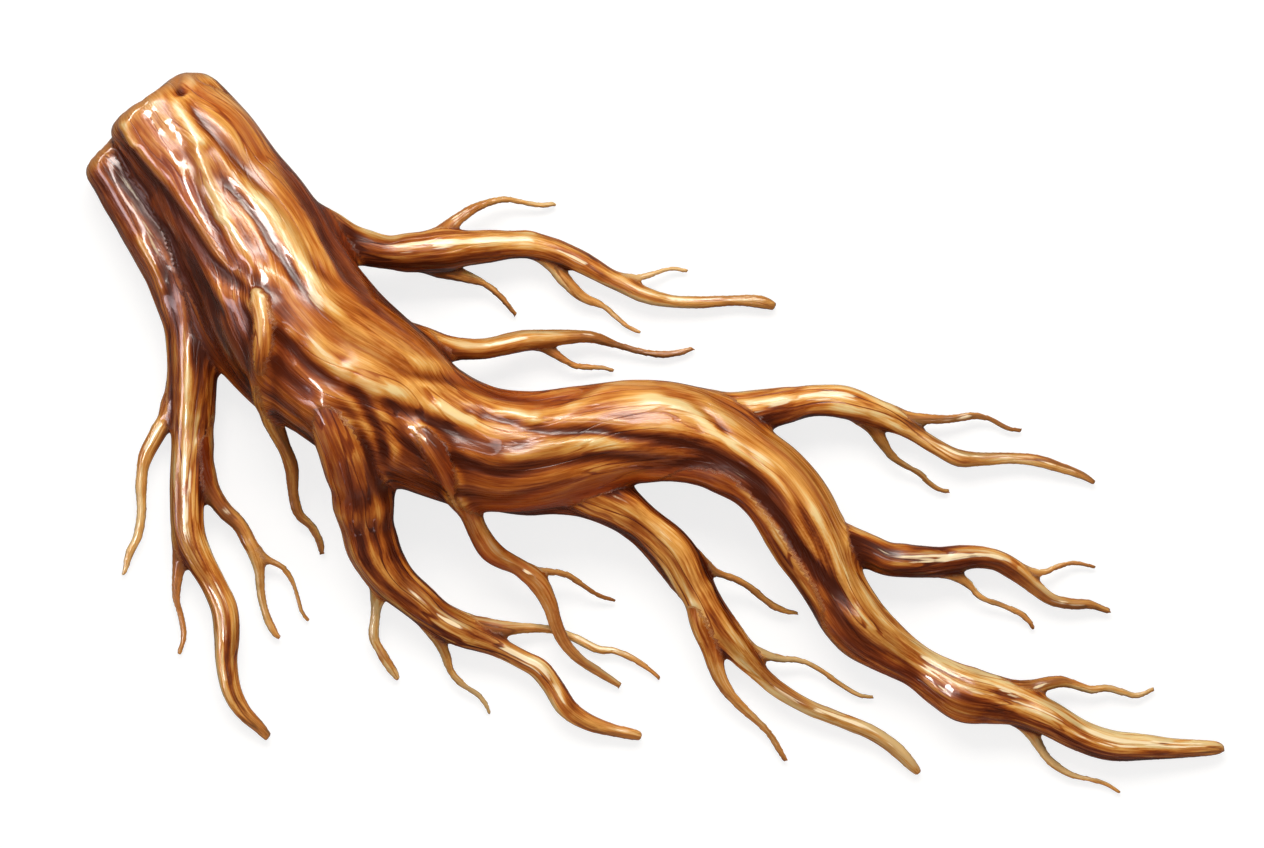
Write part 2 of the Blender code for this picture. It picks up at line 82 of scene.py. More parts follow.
COURSES = (
    Course("taproot", Kind.STEM, (
        (-144.4, 9.4, 4.6, 12.2), (-140, 7.4, 4.2, 12.8), (-135, 5.8, 3.4, 13.8),
        (-125.5, 3.5, 2.5, 15), (-115.4, -1.5, 1.5, 16), (-106.5, -6, 0.5, 17.6), (-99, -10.5, 0, 19),
        (-92, -15, 0, 20), (-84, -19.5, 0, 20.2), (-75, -22.8, 0, 19.4), (-65, -24.6, 0, 18.8),
        (-55, -25.4, 0, 17.8), (-45, -26, 0.3, 16.6), (-35, -25, 0.8, 15.8), (-27, -22.6, 1, 15.2),
        (-18, -17.5, 1.2, 14.8), (-9, -9.5, 1.4, 13.8), (0, -1.5, 1.6, 12.6), (9, 4, 1.8, 11.8),
        (18, 6.6, 3, 10.4), (27, 6.3, 3.5, 9.6), (36, 5, 3, 9.6), (45, 1.5, 2.6, 9.4),
        (54, -3.8, 2.4, 8.4), (63, -9.5, 2.2, 7.5), (72, -14, 1.4, 7.4), (82, -16, 0.8, 6.4),
        (91, -16.8, 0.3, 5.5), (99, -17.2, 0, 6.2), (105, -17, 0, 6.8), (111, -15.2, 0.3, 6),
        (118, -13, 0.8, 5), (126, -11.7, 1.2, 4.7), (135, -11.5, 1.5, 3.9), (143, -9.8, 1.3, 3.5),
        (150, -6.3, 1, 3), (157, -2.7, 0.6, 2.4), (163, 0.9, 0.2, 2.1), (166.6, 3, 0, 1.7),
        (168, 3.9, 0.4, 0.8),
    )),
    Course("crown_lobe", Kind.STEM, (
        (-138.6, 17.4, 7.4, 7), (-134.5, 15, 7.4, 7.8), (-128.5, 11.4, 7, 8.4), (-120, 6.6, 6, 8.8),
        (-111, 1.6, 5, 9),
    )),
    Course("second_stem", Kind.STEM, (
        (-148.8, -7.2, 0.8, 7.2), (-145, -8.4, 0.3, 7.7), (-139, -11, 0, 8),
        (-133, -14, 0, 8.2), (-127.5, -17.3, 0, 8.5), (-122, -20.8, 0, 8.5), (-117, -24.5, 0, 8),
        (-112, -29, 0, 7.5), (-107.5, -34, 0.3, 6.8), (-104, -39.5, 0.8, 6.3), (-100.5, -45.5, 1, 6),
        (-97.5, -51.5, 1.2, 5.3), (-94.3, -58, 1.3, 4.8), (-91, -65, 1.4, 4.5), (-87.5, -71.5, 1.5, 4.4),
        (-83, -78.4, 1.6, 4.2), (-77.5, -83, 1.6, 3.7), (-71, -87, 1.4, 3.3), (-65.5, -91, 1.2, 3.5),
        (-61.5, -96.5, 1, 3.4), (-58.5, -102, 0.8, 2.9), (-54, -107.5, 0.5, 2.6), (-49, -110.7, 0.2, 2.1),
        (-43.5, -112.2, 0, 1.6), (-39.8, -113.4, 0, 1.1),
    )),
    Course("lower_strand", Kind.STEM, (
        (-126, -11, 3, 6), (-117, -17, 2, 7.5), (-108, -23, 1, 8.5), (-99, -28.5, 0.3, 8.8),
        (-91, -32, 0, 8.6), (-83, -34.3, 0, 8.2), (-74, -35.5, 0, 7.6), (-65, -36.3, 0.4, 7),
        (-56, -36.5, 1, 6.5), (-48, -36, 1.5, 6.5), (-40, -34.5, 1.8, 6.8), (-31, -32, 2, 6.6),
        (-22, -29.8, 2.6, 6), (-14, -28, 3.2, 5.4), (-8, -25.3, 4, 4.5), (-1, -22.6, 5, 4),
        (7, -21.6, 5.5, 3.6), (15, -22.6, 5, 3.2), (23, -25.5, 4, 2.8), (31, -29, 3.6, 2.4),
    )),
    Course("lower_root", Kind.SIDE, (
        (-24, -24.5, 6, 8), (-16, -22, 6, 7.5), (-8, -20, 7, 6.2), (0, -19.3, 8.2, 5.4),
        (8, -18.9, 8, 5), (17, -20.2, 7, 4.8), (25, -22.6, 5.8, 4.9), (33, -27, 4.4, 4.6),
        (41, -31.4, 3.4, 4.2), (48, -34.5, 3, 3.4), (55, -37, 2.6, 2.8), (63, -38.9, 2, 2.4),
        (72, -39.2, 1.6, 2.3), (81, -38, 1.1, 2), (89, -36.9, 0.8, 1.8), (96, -37.2, 0.4, 1.7),
        (102, -38.8, 0, 1.5), (105.2, -40, 0, 1),
    )),
    Course("bend_strand", Kind.SIDE, (
        (4, -9, 8, 3.8), (12, -5.2, 12, 3.5), (20, -2, 14.6, 3.2), (28, -1, 15, 3.1), (36, -2, 14.2, 3.2),
        (44, -5.6, 12.6, 3.4), (50, -8.6, 10.4, 3.6), (57, -11.6, 9, 3.6), (63, -14.6, 8, 3.6),
        (69, -18, 5.4, 3.5), (76, -20, 3, 3.2), (86, -19.4, 1.4, 2.8),
    )),
    Course("middle_root", Kind.SIDE, (
        (-74, -27, 20, 5.6), (-68.5, -31, 25.2, 6.2), (-62, -36.5, 22.6, 7), (-55.5, -43, 15.6, 7.3),
        (-50, -49.5, 9.4, 6.9), (-44.5, -55.3, 5.6, 6.2), (-38.5, -60.3, 3.4, 5.5), (-32, -63.4, 2.9, 4.8),
        (-25, -64.9, 2.7, 4.2), (-18, -65.8, 2.5, 3.9), (-10, -65.7, 2.3, 3.5), (-2, -65, 2, 2.9),
        (5, -64.8, 1.7, 2.7), (10, -64.7, 1.5, 2.8), (15.5, -66.7, 1.2, 2.6), (21, -69.3, 0.8, 2.6),
        (27, -70, 0.5, 2.1), (33, -69, 0.2, 1.6), (38, -67.4, 0, 1.4), (40.6, -66.6, 0, 0.9),
    )),
    Course("back_root", Kind.SIDE, (
        (-102, -3, 9, 6), (-95.5, 0.8, 9, 5.6), (-89, 3, 8.6, 5), (-82, 4.2, 8, 4.7),
        (-75.5, 6, 7, 4.6), (-69, 9.7, 5.8, 4.7), (-63, 13.7, 4.8, 4.6), (-57, 18, 4, 4.1),
        (-51, 22.4, 3.3, 3.7), (-45, 25.7, 2.8, 3.4), (-38, 27.6, 2.3, 3.2), (-30, 28.5, 2, 2.7),
        (-22, 28.7, 1.7, 2.2), (-14.5, 29, 1.4, 2.3), (-8, 31, 1.1, 1.9), (-2, 34.2, 0.8, 1.8),
        (4, 38, 0.5, 1.6), (9, 41, 0.2, 1.5), (13, 42.6, 0, 1.4), (16, 43, 0, 0.9),
    )),
    Course("far_root", Kind.SIDE, (
        (8, 6, 7, 6), (14, 10.5, 6, 5.6), (19.5, 14.5, 5.4, 5), (25, 18.7, 5, 4.6),
        (30.8, 23.2, 4.5, 4.4), (36, 27.5, 4.1, 4), (41.3, 30.7, 3.7, 3.7), (47.5, 32.3, 3.4, 3.3),
        (54, 33, 3, 2.9), (61, 33, 2.6, 2.1), (68, 32.8, 2.2, 2.1), (74, 33.1, 1.8, 2.3),
        (79, 35.6, 1.4, 2), (85, 39.3, 1, 1.8), (91, 42.2, 0.6, 1.7), (97, 43.9, 0.3, 1.5),
        (103, 45, 0, 1.2), (107.2, 44.8, 0, 0.8),
    )),
    Course("right_root", Kind.SIDE, (
        (54, -3, 5, 5.4), (60, 0.5, 5, 4.7), (66, 2.1, 4.7, 4), (71, 2.7, 4.4, 3.9),
        (75.5, 4.7, 4, 3.8), (80, 7.4, 3.6, 3.6), (85, 10.6, 3.2, 3.2), (90, 13.6, 2.8, 2.8),
        (95.5, 15.6, 2.4, 2.6), (101, 15.6, 2, 2.2), (107, 14.7, 1.6, 1.9), (112, 14.2, 1.2, 1.9),
        (117, 15.8, 0.8, 1.7), (121, 18, 0.4, 1.4), (126.5, 19.1, 0, 0.8),
    )),
    Course("inner_root", Kind.SIDE, (
        (-64.5, -13, 10, 4.2), (-58.5, -10.2, 10, 3.8), (-53, -7.9, 9, 3.4), (-47.5, -5.5, 7.8, 3.2),
        (-42.5, -2.7, 6.6, 3), (-38, 1, 5.4, 2.8), (-34, 4.6, 4.4, 2.7), (-30, 7.6, 3.6, 2.4),
        (-25, 11, 2.8, 1.9), (-20, 13.7, 2, 1.6), (-14, 15, 1.4, 1.2), (-8, 16.5, 0.9, 1),
        (-3, 18.5, 0.5, 1), (1, 21.5, 0.2, 0.9), (3.4, 24.2, 0, 0.7),
    )),
    Course("over_root", Kind.ROOTLET, (
        (-50, -26, 25, 3.2), (-44, -28, 29, 3), (-38, -30.5, 28.4, 2.9), (-32, -34, 24, 2.8),
        (-26.5, -38.3, 16.5, 2.7), (-20.5, -42.3, 11, 2.6), (-14, -45, 8.8, 2.8), (-7, -45.3, 7.6, 2.3),
        (-1, -46.2, 6.6, 2.2), (4, -49, 5.6, 2.1), (8.5, -53, 4.5, 1.9), (13, -56, 3, 1.6),
        (18, -57.6, 1.4, 1.4), (24, -58, 0.4, 1.2), (30, -58.3, 0, 0.9),
    )),
    Course("trunk_rootlet", Kind.ROOTLET, (
        (-103.5, -14.2, 24, 3), (-98.4, -16.6, 31.4, 3.2), (-93.4, -20.2, 35.2, 3), (-89.2, -25.6, 35.6, 2.8),
        (-86, -33, 31.4, 2.6), (-82.8, -39.2, 24, 2.4), (-78.5, -44, 14.5, 2.2), (-73.5, -47.8, 9, 2),
        (-68.5, -52, 5.8, 1.8), (-64.8, -57.5, 3.4, 1.5), (-61.3, -61, 2, 1.3), (-57, -62.2, 1.1, 1.1),
        (-53.5, -64.5, 0.4, 1), (-51.2, -67.2, 0, 0.7),
    )),
    Course("left_rootlet_outer", Kind.ROOTLET, (
        (-105, -40, 3.5, 3.6), (-103.2, -48, 3, 3), (-101.8, -55, 2.6, 2.4), (-102, -62, 2.2, 1.9),
        (-101.6, -68, 1.8, 1.8), (-99, -74.5, 1.4, 1.6), (-95.8, -80, 1, 1.5), (-93.4, -86, 0.6, 1.3),
        (-93, -91, 0.3, 1.1), (-91.5, -96.5, 0, 0.7),
    )),
    Course("left_rootlet_inner", Kind.ROOTLET, (
        (-97, -49, 3, 3.6), (-93.5, -54.5, 3, 3.4), (-89.5, -60.5, 3, 3.1), (-84.5, -66, 2.9, 2.7),
        (-78.5, -69.3, 2.7, 2.2), (-73, -70.8, 2.4, 1.9), (-69.3, -73, 2.1, 1.6), (-65.8, -75.5, 1.7, 1.5),
        (-62.8, -78.5, 1.3, 1.3), (-60, -82.5, 0.9, 1.2), (-56.5, -86.5, 0.5, 1.1), (-52.5, -89.5, 0.2, 1),
        (-49.8, -90.6, 0, 0.7),
    )),
    Course("left_rootlet_fork", Kind.ROOTLET, (
        (-68, -73.8, 2.4, 1.2), (-62.5, -74.8, 2, 1), (-58, -74.6, 1.6, 0.9), (-54.3, -76.6, 1.1, 0.8),
        (-51, -79.6, 0.7, 0.7), (-48.5, -82, 0.3, 0.6), (-45.8, -83.2, 0, 0.5),
    )),
    Course("left_rootlet_low", Kind.ROOTLET, (
        (-84.4, -78.5, 2.6, 2.3), (-81.3, -86, 1.8, 1.7), (-79.5, -90.5, 1.2, 1.3), (-77.3, -94.6, 0.8, 1.1),
        (-74, -98, 0.5, 0.9), (-71.3, -101.5, 0.3, 0.8), (-70.2, -104.5, 0.1, 0.7), (-70, -107, 0, 0.5),
    )),
    Course("middle_rootlet_first", Kind.ROOTLET, (
        (-38, -61, 5, 2.8), (-34.5, -68, 3, 1.9), (-32.3, -73, 2.2, 1.5), (-29.8, -78.3, 1.5, 1.4),
        (-26, -81, 1, 1.3), (-22, -83.3, 0.4, 1.1), (-19, -84.7, 0, 0.7),
    )),
    Course("middle_rootlet_second", Kind.ROOTLET, (
        (-23, -66.2, 3.6, 2.5), (-17, -70, 2.5, 1.8), (-12.5, -73.2, 1.8, 1.3), (-8.5, -76.4, 1.2, 1.1),
        (-4, -77.7, 0.8, 1), (0, -78, 0.5, 0.9), (3, -79.2, 0.2, 0.8), (5.2, -80.9, 0, 0.5),
    )),
    Course("middle_rootlet_under", Kind.ROOTLET, (
        (-16, -65, 3.5, 2.4), (-8.5, -62.2, 2.8, 2), (-3, -60.3, 2, 1.9), (2, -57.5, 1.2, 1.5),
        (7, -55, 0.5, 1.3), (13, -53.7, 0.2, 1.1), (20, -53.2, 0.2, 1.1), (24, -51.4, 0.3, 0.9),
        (29, -50.7, 0.2, 0.8), (34, -51, 0.1, 0.7), (37.8, -51.9, 0, 0.5),
    )),
    Course("over_rootlet", Kind.ROOTLET, (
        (-9, -45, 8.2, 1.5), (-3, -43.6, 7, 1.2), (3, -41.1, 5.2, 1), (8, -41, 3.5, 0.9),
        (13, -41.4, 1.6, 0.8), (18, -40.5, 0, 0.6),
    )),
    Course("lower_rootlet_fork", Kind.ROOTLET, (
        (35, -28, 6, 3.2), (40.5, -35, 4.5, 3), (44.5, -39.3, 3.5, 2.6), (48.5, -43, 2.7, 2.1),
        (53, -45.8, 2, 1.8), (58, -47.6, 1.3, 1.5), (63.5, -48.8, 0.8, 1.2), (68, -50, 0.5, 1.1),
        (72, -52.2, 0.2, 0.9), (75, -53.9, 0, 0.6),
    )),
    Course("lower_rootlet_near", Kind.ROOTLET, (
        (23, -20.8, 8.2, 2.3), (30.5, -21, 7.5, 1.7), (36, -21.6, 6, 1.4), (41, -20.7, 4.6, 1.1),
        (46, -20.7, 3.4, 1), (52, -21.7, 1.9, 0.9), (56, -21.4, 0.9, 0.8), (59.2, -20.2, 0, 0.5),
    )),
    Course("lower_rootlet_far", Kind.ROOTLET, (
        (45, -32.6, 4.4, 2.3), (52.5, -33.6, 3.6, 1.7), (57, -33.2, 3, 1.4), (61, -32.2, 2.4, 1.2),
        (65.3, -30.3, 1.8, 0.9), (70.5, -29.9, 1.2, 0.8), (76, -30.4, 0.7, 0.8), (82, -30.5, 0.3, 0.7),
        (86, -29, 0, 0.5),
    )),
    Course("back_rootlet_up", Kind.ROOTLET, (
        (-70, 9.5, 6.5, 2.7), (-66, 15.8, 6.4, 2.1), (-64, 21, 5.8, 1.6), (-61.5, 26.3, 4.8, 1.2),
        (-58.6, 30.2, 3.7, 1), (-55.5, 32.8, 2.7, 0.9), (-51.5, 34.2, 1.7, 0.8), (-47.5, 35.7, 0.8, 0.8),
        (-44.4, 38.1, 0, 0.6),
    )),
    Course("back_rootlet_middle", Kind.ROOTLET, (
        (-45, 26, 3.2, 2.4), (-38, 24.3, 2.6, 1.8), (-32.5, 22.5, 2, 1.5), (-27, 21.2, 1.4, 1.2),
        (-22, 21.8, 0.9, 0.9), (-18, 21.2, 0.5, 0.7), (-14, 20.4, 0.2, 0.6), (-10, 20.6, 0, 0.5),
    )),
    Course("back_rootlet_tip", Kind.ROOTLET, (
        (-22, 29, 2.2, 1.4), (-17.3, 32.3, 2.3, 1), (-15, 34.6, 2, 0.9), (-13, 37, 1.3, 0.7),
        (-10.6, 38.9, 0.6, 0.6), (-7.3, 39.9, 0, 0.5),
    )),
    Course("back_rootlet_low", Kind.ROOTLET, (
        (-68, 8.8, 5, 3.1), (-61, 9.3, 4.5, 2.3), (-55.5, 10.7, 3.5, 1.5), (-50.5, 11.6, 2.5, 1),
        (-46, 11.2, 1.6, 0.9), (-42.5, 10.1, 0.8, 0.8), (-39, 8.8, 0, 0.6),
    )),
    Course("inner_rootlet", Kind.ROOTLET, (
        (-37, 2, 4.6, 1.9), (-31, 4.9, 4, 1.4), (-25.5, 5.3, 3, 1.2), (-20.5, 5.2, 2, 0.9),
        (-17, 6.7, 1.2, 0.8), (-13.6, 8.6, 0.5, 0.6), (-11, 9, 0, 0.5),
    )),
    Course("far_rootlet_up", Kind.ROOTLET, (
        (51, 33, 4, 2.3), (58.5, 35.8, 3.5, 1.5), (63.5, 38.1, 2.8, 1.3), (68, 41.1, 2.1, 1.1),
        (72, 44.1, 1.4, 1), (76.2, 45.6, 0.8, 0.8), (81, 45.8, 0.4, 0.7), (84.8, 47.2, 0, 0.5),
    )),
    Course("far_rootlet_low", Kind.ROOTLET, (
        (44, 31.2, 4.4, 2.5), (51, 29.3, 3.7, 1.8), (55, 27.2, 3.2, 1.5), (59.5, 25.4, 2.5, 1.2),
        (64, 25, 1.8, 1), (67.5, 25.1, 1.2, 0.9), (70.8, 24.2, 0.7, 0.8), (74, 24, 0.3, 0.7),
        (76.6, 25.1, 0, 0.5),
    )),
    Course("right_rootlet_up", Kind.ROOTLET, (
        (96, 16.4, 3.4, 1.3), (102.5, 17.4, 3, 0.9), (106.8, 19, 2.3, 0.8), (109.3, 22.3, 1.5, 0.7),
        (112, 24.8, 0.8, 0.6), (115, 26, 0.3, 0.6), (117.8, 26.7, 0, 0.5),
    )),
    Course("right_rootlet_low", Kind.ROOTLET, (
        (75, 4.6, 5, 2.9), (82, 6.4, 4.2, 1.9), (87.5, 7.4, 3.4, 1.4), (92, 7.2, 2.6, 1.1),
        (96.5, 5.9, 1.9, 0.9), (102, 6.9, 1.2, 0.8), (107, 7.3, 0.6, 0.8), (110, 6.7, 0.2, 0.7),
        (112.2, 5.5, 0, 0.5),
    )),
    Course("tip_rootlet_up", Kind.ROOTLET, (
        (106, -14.5, 3, 3.6), (113, -11.3, 3.2, 3), (117.5, -7.9, 3.2, 2.4), (121, -4.6, 3, 2),
        (124.5, -2, 2.5, 1.5), (128.5, -1.1, 2, 1.2), (131.8, -0.3, 1.6, 1.1), (135, 2, 1.2, 1),
        (139, 3.1, 0.8, 0.9), (142.5, 4.2, 0.4, 0.8), (145.6, 7.9, 0, 0.5),
    )),
    Course("tip_rootlet_low", Kind.ROOTLET, (
        (116, -14.6, 1.4, 2.5), (123.5, -17, 0.9, 1.8), (127.5, -19, 0.6, 1.4), (131, -20.7, 0.4, 1.2),
        (135, -21.3, 0.3, 1), (139, -21, 0.2, 0.9), (142.5, -19.9, 0.1, 0.8), (147, -18.8, 0, 0.6),
        (151.5, -19, 0, 0.5),
    )),
)


@dataclass(frozen=True)
class Fold:
    """A groove along the skin's upper side, or a ridge when its depth is below 0.

    Args:
        way: The plan points x, y that it runs through, in millimetres.
        depth: How deep it is at its middle, in millimetres.
        width: Its half width, in millimetres.
        lip: How far the skin stands out along its left side, in millimetres.
    """

    way: Sequence[tuple[float, float]]
    depth: float
    width: float
    lip: float = 0.0


FOLDS = (
    # Grooves of the crown and the stem.
    Fold(((-143, 18.6), (-140.4, 17.3), (-138.3, 16), (-136, 14.6)), 2.2, 1.4, 0.5),
    Fold((
        (-137, 13.6), (-131, 11.8), (-124, 9.8), (-118, 8), (-108, 4.6), (-96, -0.6), (-86, -6), (-75, -7),
    ), 1.1, 1.7, 0.4),
    Fold((
        (-133, 4.6), (-125.5, 0), (-118, -6), (-108.5, -13), (-102, -15.2), (-96, -16), (-88, -16.6),
    ), 1.5, 1.8, 0.8),
    Fold(((-124, 3.9), (-114, 0.6), (-104, -3.2), (-98.6, -6.4), (-88, -10.8), (-77, -13.6)), 0.9, 1.5, 0.3),
    Fold((
        (-148.6, 0.3), (-142.5, -4.2), (-134, -7.8), (-129, -9.4), (-121, -12.8), (-110, -17.6),
        (-97, -19.4), (-90, -18.6),
    ), 2.0, 2.0, 0.8),
    Fold(((-130, -13.6), (-122, -17.4), (-114, -21.4), (-106, -25.6), (-99, -28.4)), 1.2, 1.7, 0.5),
    Fold(((-144, -8.6), (-137, -12), (-129, -15.6), (-121, -20.4), (-114, -26.4)), 1.2, 1.5, 0.4),
    Fold(((-108, 11.6), (-98, 7.4), (-90, 2.8), (-80, -3), (-70, -6)), 1.0, 1.6, 0.5),
    Fold((
        (-95, -22), (-87, -24), (-79, -26.6), (-70, -27.8), (-60, -27.2), (-50, -25), (-38, -23.6),
        (-27, -22.6),
    ), 1.2, 1.8, 0.6),
    Fold((
        (-84, -15), (-74, -17.4), (-64, -17), (-54, -16.6), (-45.6, -13.6), (-33.3, -10), (-21.5, -5.6),
        (-14.6, -0.6), (-10.4, 4.6),
    ), 1.0, 1.7, 0.5),
    Fold(((-40, -18.6), (-35.3, -17.4), (-28, -15.1), (-22.6, -13.5), (-16, -11)), 0.8, 1.3, 0.4),
    Fold((
        (-27, -17.2), (-17.7, -12.1), (-6.6, -6.1), (1, -3), (10, 1), (20, 3), (30, 3.4), (40, 1.6),
        (50, -3),
    ), 1.1, 1.6, 0.6),
    Fold((
        (-42, -31), (-32.7, -29.4), (-21.5, -26.3), (-12, -18), (-4, -12), (5, -7), (14, -2.5),
    ), 1.1, 1.7, 0.6),
    Fold(((-46, -39), (-38, -38.8), (-31.6, -37.4), (-24, -35), (-18, -32.4), (-10.2, -24.6)), 1.0, 1.5, 0.3),
    Fold((
        (-66.5, -26.8), (-62, -27.6), (-56.7, -31), (-52.6, -34), (-50.2, -36.4), (-47.5, -41.4),
    ), 1.3, 1.6, 0.8),
    Fold((
        (-70, -32.6), (-62.8, -32.4), (-58, -34.4), (-53.3, -38.4), (-49.4, -43), (-45, -48),
    ), 1.0, 1.5, 0.5),
    Fold(((0, 9), (8, 12), (16, 10.6), (24, 8.6)), 0.7, 1.4, 0.4),
    Fold(((42, 4), (50, 0), (58, -5.6), (66, -10), (74, -12.6)), 0.8, 1.4, 0.4),
    Fold((
        (30, 2.4), (37, -0.4), (43.5, -2.6), (49.5, -6), (57, -8.4), (65, -11.4), (73, -15),
    ), 1.9, 1.6, 0.5),
    Fold(((60, -11), (68, -15.6), (77, -18), (88, -18.6), (98, -19.6)), 0.8, 1.3, 0.3),
    Fold(((84, -14), (94, -15), (104, -14), (114, -12.4), (124, -10.6)), 0.6, 1.2, 0.3),
    # Ridges that stand out of it.
    Fold(((-141, 13.4), (-136, 11.8), (-132.8, 10.2), (-128.3, 7.6), (-124, 6)), -1.2, 1.8),
    Fold(((-129.6, 1.8), (-123, -1.6), (-116.7, -5.8), (-111, -9)), -1.0, 1.6),
    Fold(((-146.4, 2.4), (-143.4, -0.4), (-140, -3)), -0.8, 1.4),
    Fold(((-113.5, 3.9), (-103.6, 1.9), (-93.3, -2.8), (-87, -8.2), (-80, -12), (-71.7, -13)), -1.4, 2.2),
    Fold(((-113.4, 11.2), (-107.9, 9.6), (-101, 8), (-94.8, 5.4), (-88, 1)), -0.9, 1.7),
    Fold(((-131.3, -20), (-126, -23.4), (-121, -26.6), (-116, -31)), -0.8, 1.5),
    Fold(((-104, -18.6), (-96, -21.4), (-88, -22.4), (-80, -23.4)), -0.7, 1.6),
    Fold(((-82, -19), (-76, -22), (-69, -24.4), (-65.8, -22), (-55.6, -21.6), (-49.5, -20.3)), -0.9, 1.9),
    Fold(((-46.9, -19.7), (-41, -20.2), (-37.4, -19.6), (-33, -18)), -1.0, 1.6),
    Fold(((-33.5, -16.2), (-27, -12.6), (-23.3, -12), (-19.8, -10)), -0.8, 1.4),
    Fold(((-27.3, -21.9), (-20.9, -20.6), (-14.6, -14), (-7.4, -8.3), (0, -4.6)), -1.1, 1.6),
    Fold(((-18.3, -7.6), (-14.2, -1.4), (-9, 6.4), (-4, 11.4), (0, 13.6)), -0.9, 1.6),
    Fold(((-4, 5), (4, 8.6), (12, 9.8), (19, 8.4), (30, 8.6), (40, 8)), -0.9, 1.7),
    Fold(((46, 4.6), (53, 0), (60, -4.4), (68, -8.6)), -0.7, 1.5),
)


@dataclass(frozen=True)
class Patch:
    """A soft oval of darker or paler skin on the upper side: pale ones partly painted highlight, dark ones
    partly painted shade, the rest the bark's own tone.

    Args:
        middle: Its plan point x, y, in millimetres.
        reach: Its half length and half width, in millimetres.
        turn: Turn of its length from +X, in degrees.
        tone: How much paler it is; below 0 it is darker.
    """

    middle: tuple[float, float]
    reach: tuple[float, float]
    turn: float
    tone: float


# Pale patches are partly painted highlight and dark ones partly painted shade; the rest of their tone is the
# bark's own.
PATCHES = (
    Patch((-113, 3.6), (15, 5), -22, 0.22),
    Patch((-112, -6.4), (9, 2.6), -24, 0.24),
    Patch((-98, -0.6), (11, 3), -26, 0.24),
    Patch((-92, -4), (16, 5), -33, 0.14),
    Patch((-67, -18), (13, 3.4), -4, 0.26),
    Patch((-72, -14), (14, 4), -15, 0.12),
    Patch((46, 4), (12, 3), -20, 0.14),
    Patch((-60, -37), (11, 5), -48, 0.34),
    Patch((-131, 9), (10, 4), -24, 0.12),
    Patch((-137, -10.5), (13, 6), -26, -0.32),
    Patch((-112, -22), (16, 8), -36, -0.34),
    Patch((-88, -32), (16, 7), -14, -0.26),
    Patch((-70, -30), (8, 4), -10, -0.12),
    Patch((-40, -34), (22, 6), 6, -0.26),
    Patch((-16, -26), (14, 6), 28, -0.22),
    Patch((-96, 8), (16, 5), -28, -0.16),
    Patch((-70, 0), (16, 5), -16, -0.12),
    Patch((-36, -18.6), (14, 3.6), 14, 0.2),
    Patch((4, 8), (13, 4), 8, 0.3),
    Patch((20, 1), (22, 4), 2, -0.22),
    Patch((56, -8), (18, 4), -32, -0.16),
    Patch((44, -38), (12, 5), -40, -0.16),
    Patch((28, -24), (24, 8), -28, -0.16),
    Patch((-92, -24), (11, 5), -55, -0.2),
    Patch((118, -13), (42, 8), 2, 0.12),
    Patch((86, 12), (30, 10), 12, 0.08),
    Patch((-86, 4), (20, 5), -24, -0.12),
    Patch((52, -10), (16, 2.4), -30, 0.1),
)
KNOT_SHARE = {Kind.STEM: 0.04, Kind.SIDE: 0.12, Kind.ROOTLET: 0.15}  # how uneven the girth is
THINNEST = 0.00042  # the least radius of a rootlet's tip, in metres
FUSED_LEAST = 0.00095  # the least radius that the fusing keeps in one piece, in metres
AXIS_ROWS = 8192  # how many points are placed on an axis at a time, which bounds the memory used
TERM_REACH = 0.008  # a root counts in the fused level up to this far outside it, in metres
MOST_MOVE = 0.0015  # how far one round of settling may move a point, in metres
SETTLING_ROUNDS = 4
FOLD_DEPTH = 0.7  # share of their depth that all the folds are laid with
FULL_GROOVE = 1.6  # a groove this deep, in millimetres, gets the whole painted shade
LIP_PLACE, LIP_WIDTH = 1.9, 1.1  # a lip's middle and its width, in widths of its fold
CUT_ROOTS = ("taproot", "crown_lobe", "second_stem")
CUT_DEPTH = (0.0005, 0.0035)  # the cut's colour fades out between these lengths from the end, in metres
CUT_ROUNDING = 0.003  # radius of a cut end's rim, in metres
STREAKS = ((60, 7, 41), (30, 2.2, 42))  # broad and fine: length and width in millimetres, and seed
SLIM_RADII = (0.004, 0.011)  # a root is slim below the first radius and thick above the second, in metres
STOUT_RADII = (0.004, 0.012)  # ridges go from a slim root's to a thick root's between these, in metres
PALE_RADII = (0.0008, 0.0032)  # a tip is pale below the first radius and plain above the second, in metres
LIT_SIDE = (-0.5, 0.866, 0.0)  # painted light and shade: a thick root's skin grows darker away from this side
SLIM_LIT_SIDE = (-0.92, 0.39, 0.0)  # painted light and shade: a slim root's skin grows darker away from this one
HIGHLIGHT_SIDE = (-0.26, 0.2, 1.0)  # painted highlight: pale cream is painted where the skin faces this way
HIGHLIGHT_FACING = (0.87, 0.955)  # no painted highlight below the first of these cosines, and all of it above the second
CREST_HIGHLIGHT_FACING = (0.8, 0.97)  # the same for the painted highlight on a laid ridge
JOINT_SHADE_SHARES = (0.72, 1.0)  # how far into a joint its painted shade begins, and where it is whole
SWAYS = ((30, 0.2, 71), (13, 0.08, 72))  # the grain's sway: size in millimetres, radians, and seed
VALLEY_ROUNDING = 0.02  # rounds the valley between two ridges
MEAN_RISE = 0.4  # what is taken from a ridge's rise, so that the skin is as thick as before on the whole
VALLEY_WIDTH = 0.16  # the noise's size that makes the edge of the painted shade in a crease between two ridges
VALLEY_SHADE = 5  # how dark the painted shade in that crease is, for the ridge's height
PLAN_MIDDLE = (8.83, -33.45, -0.8)  # the courses' point, in millimetres, that the frame has its origin at


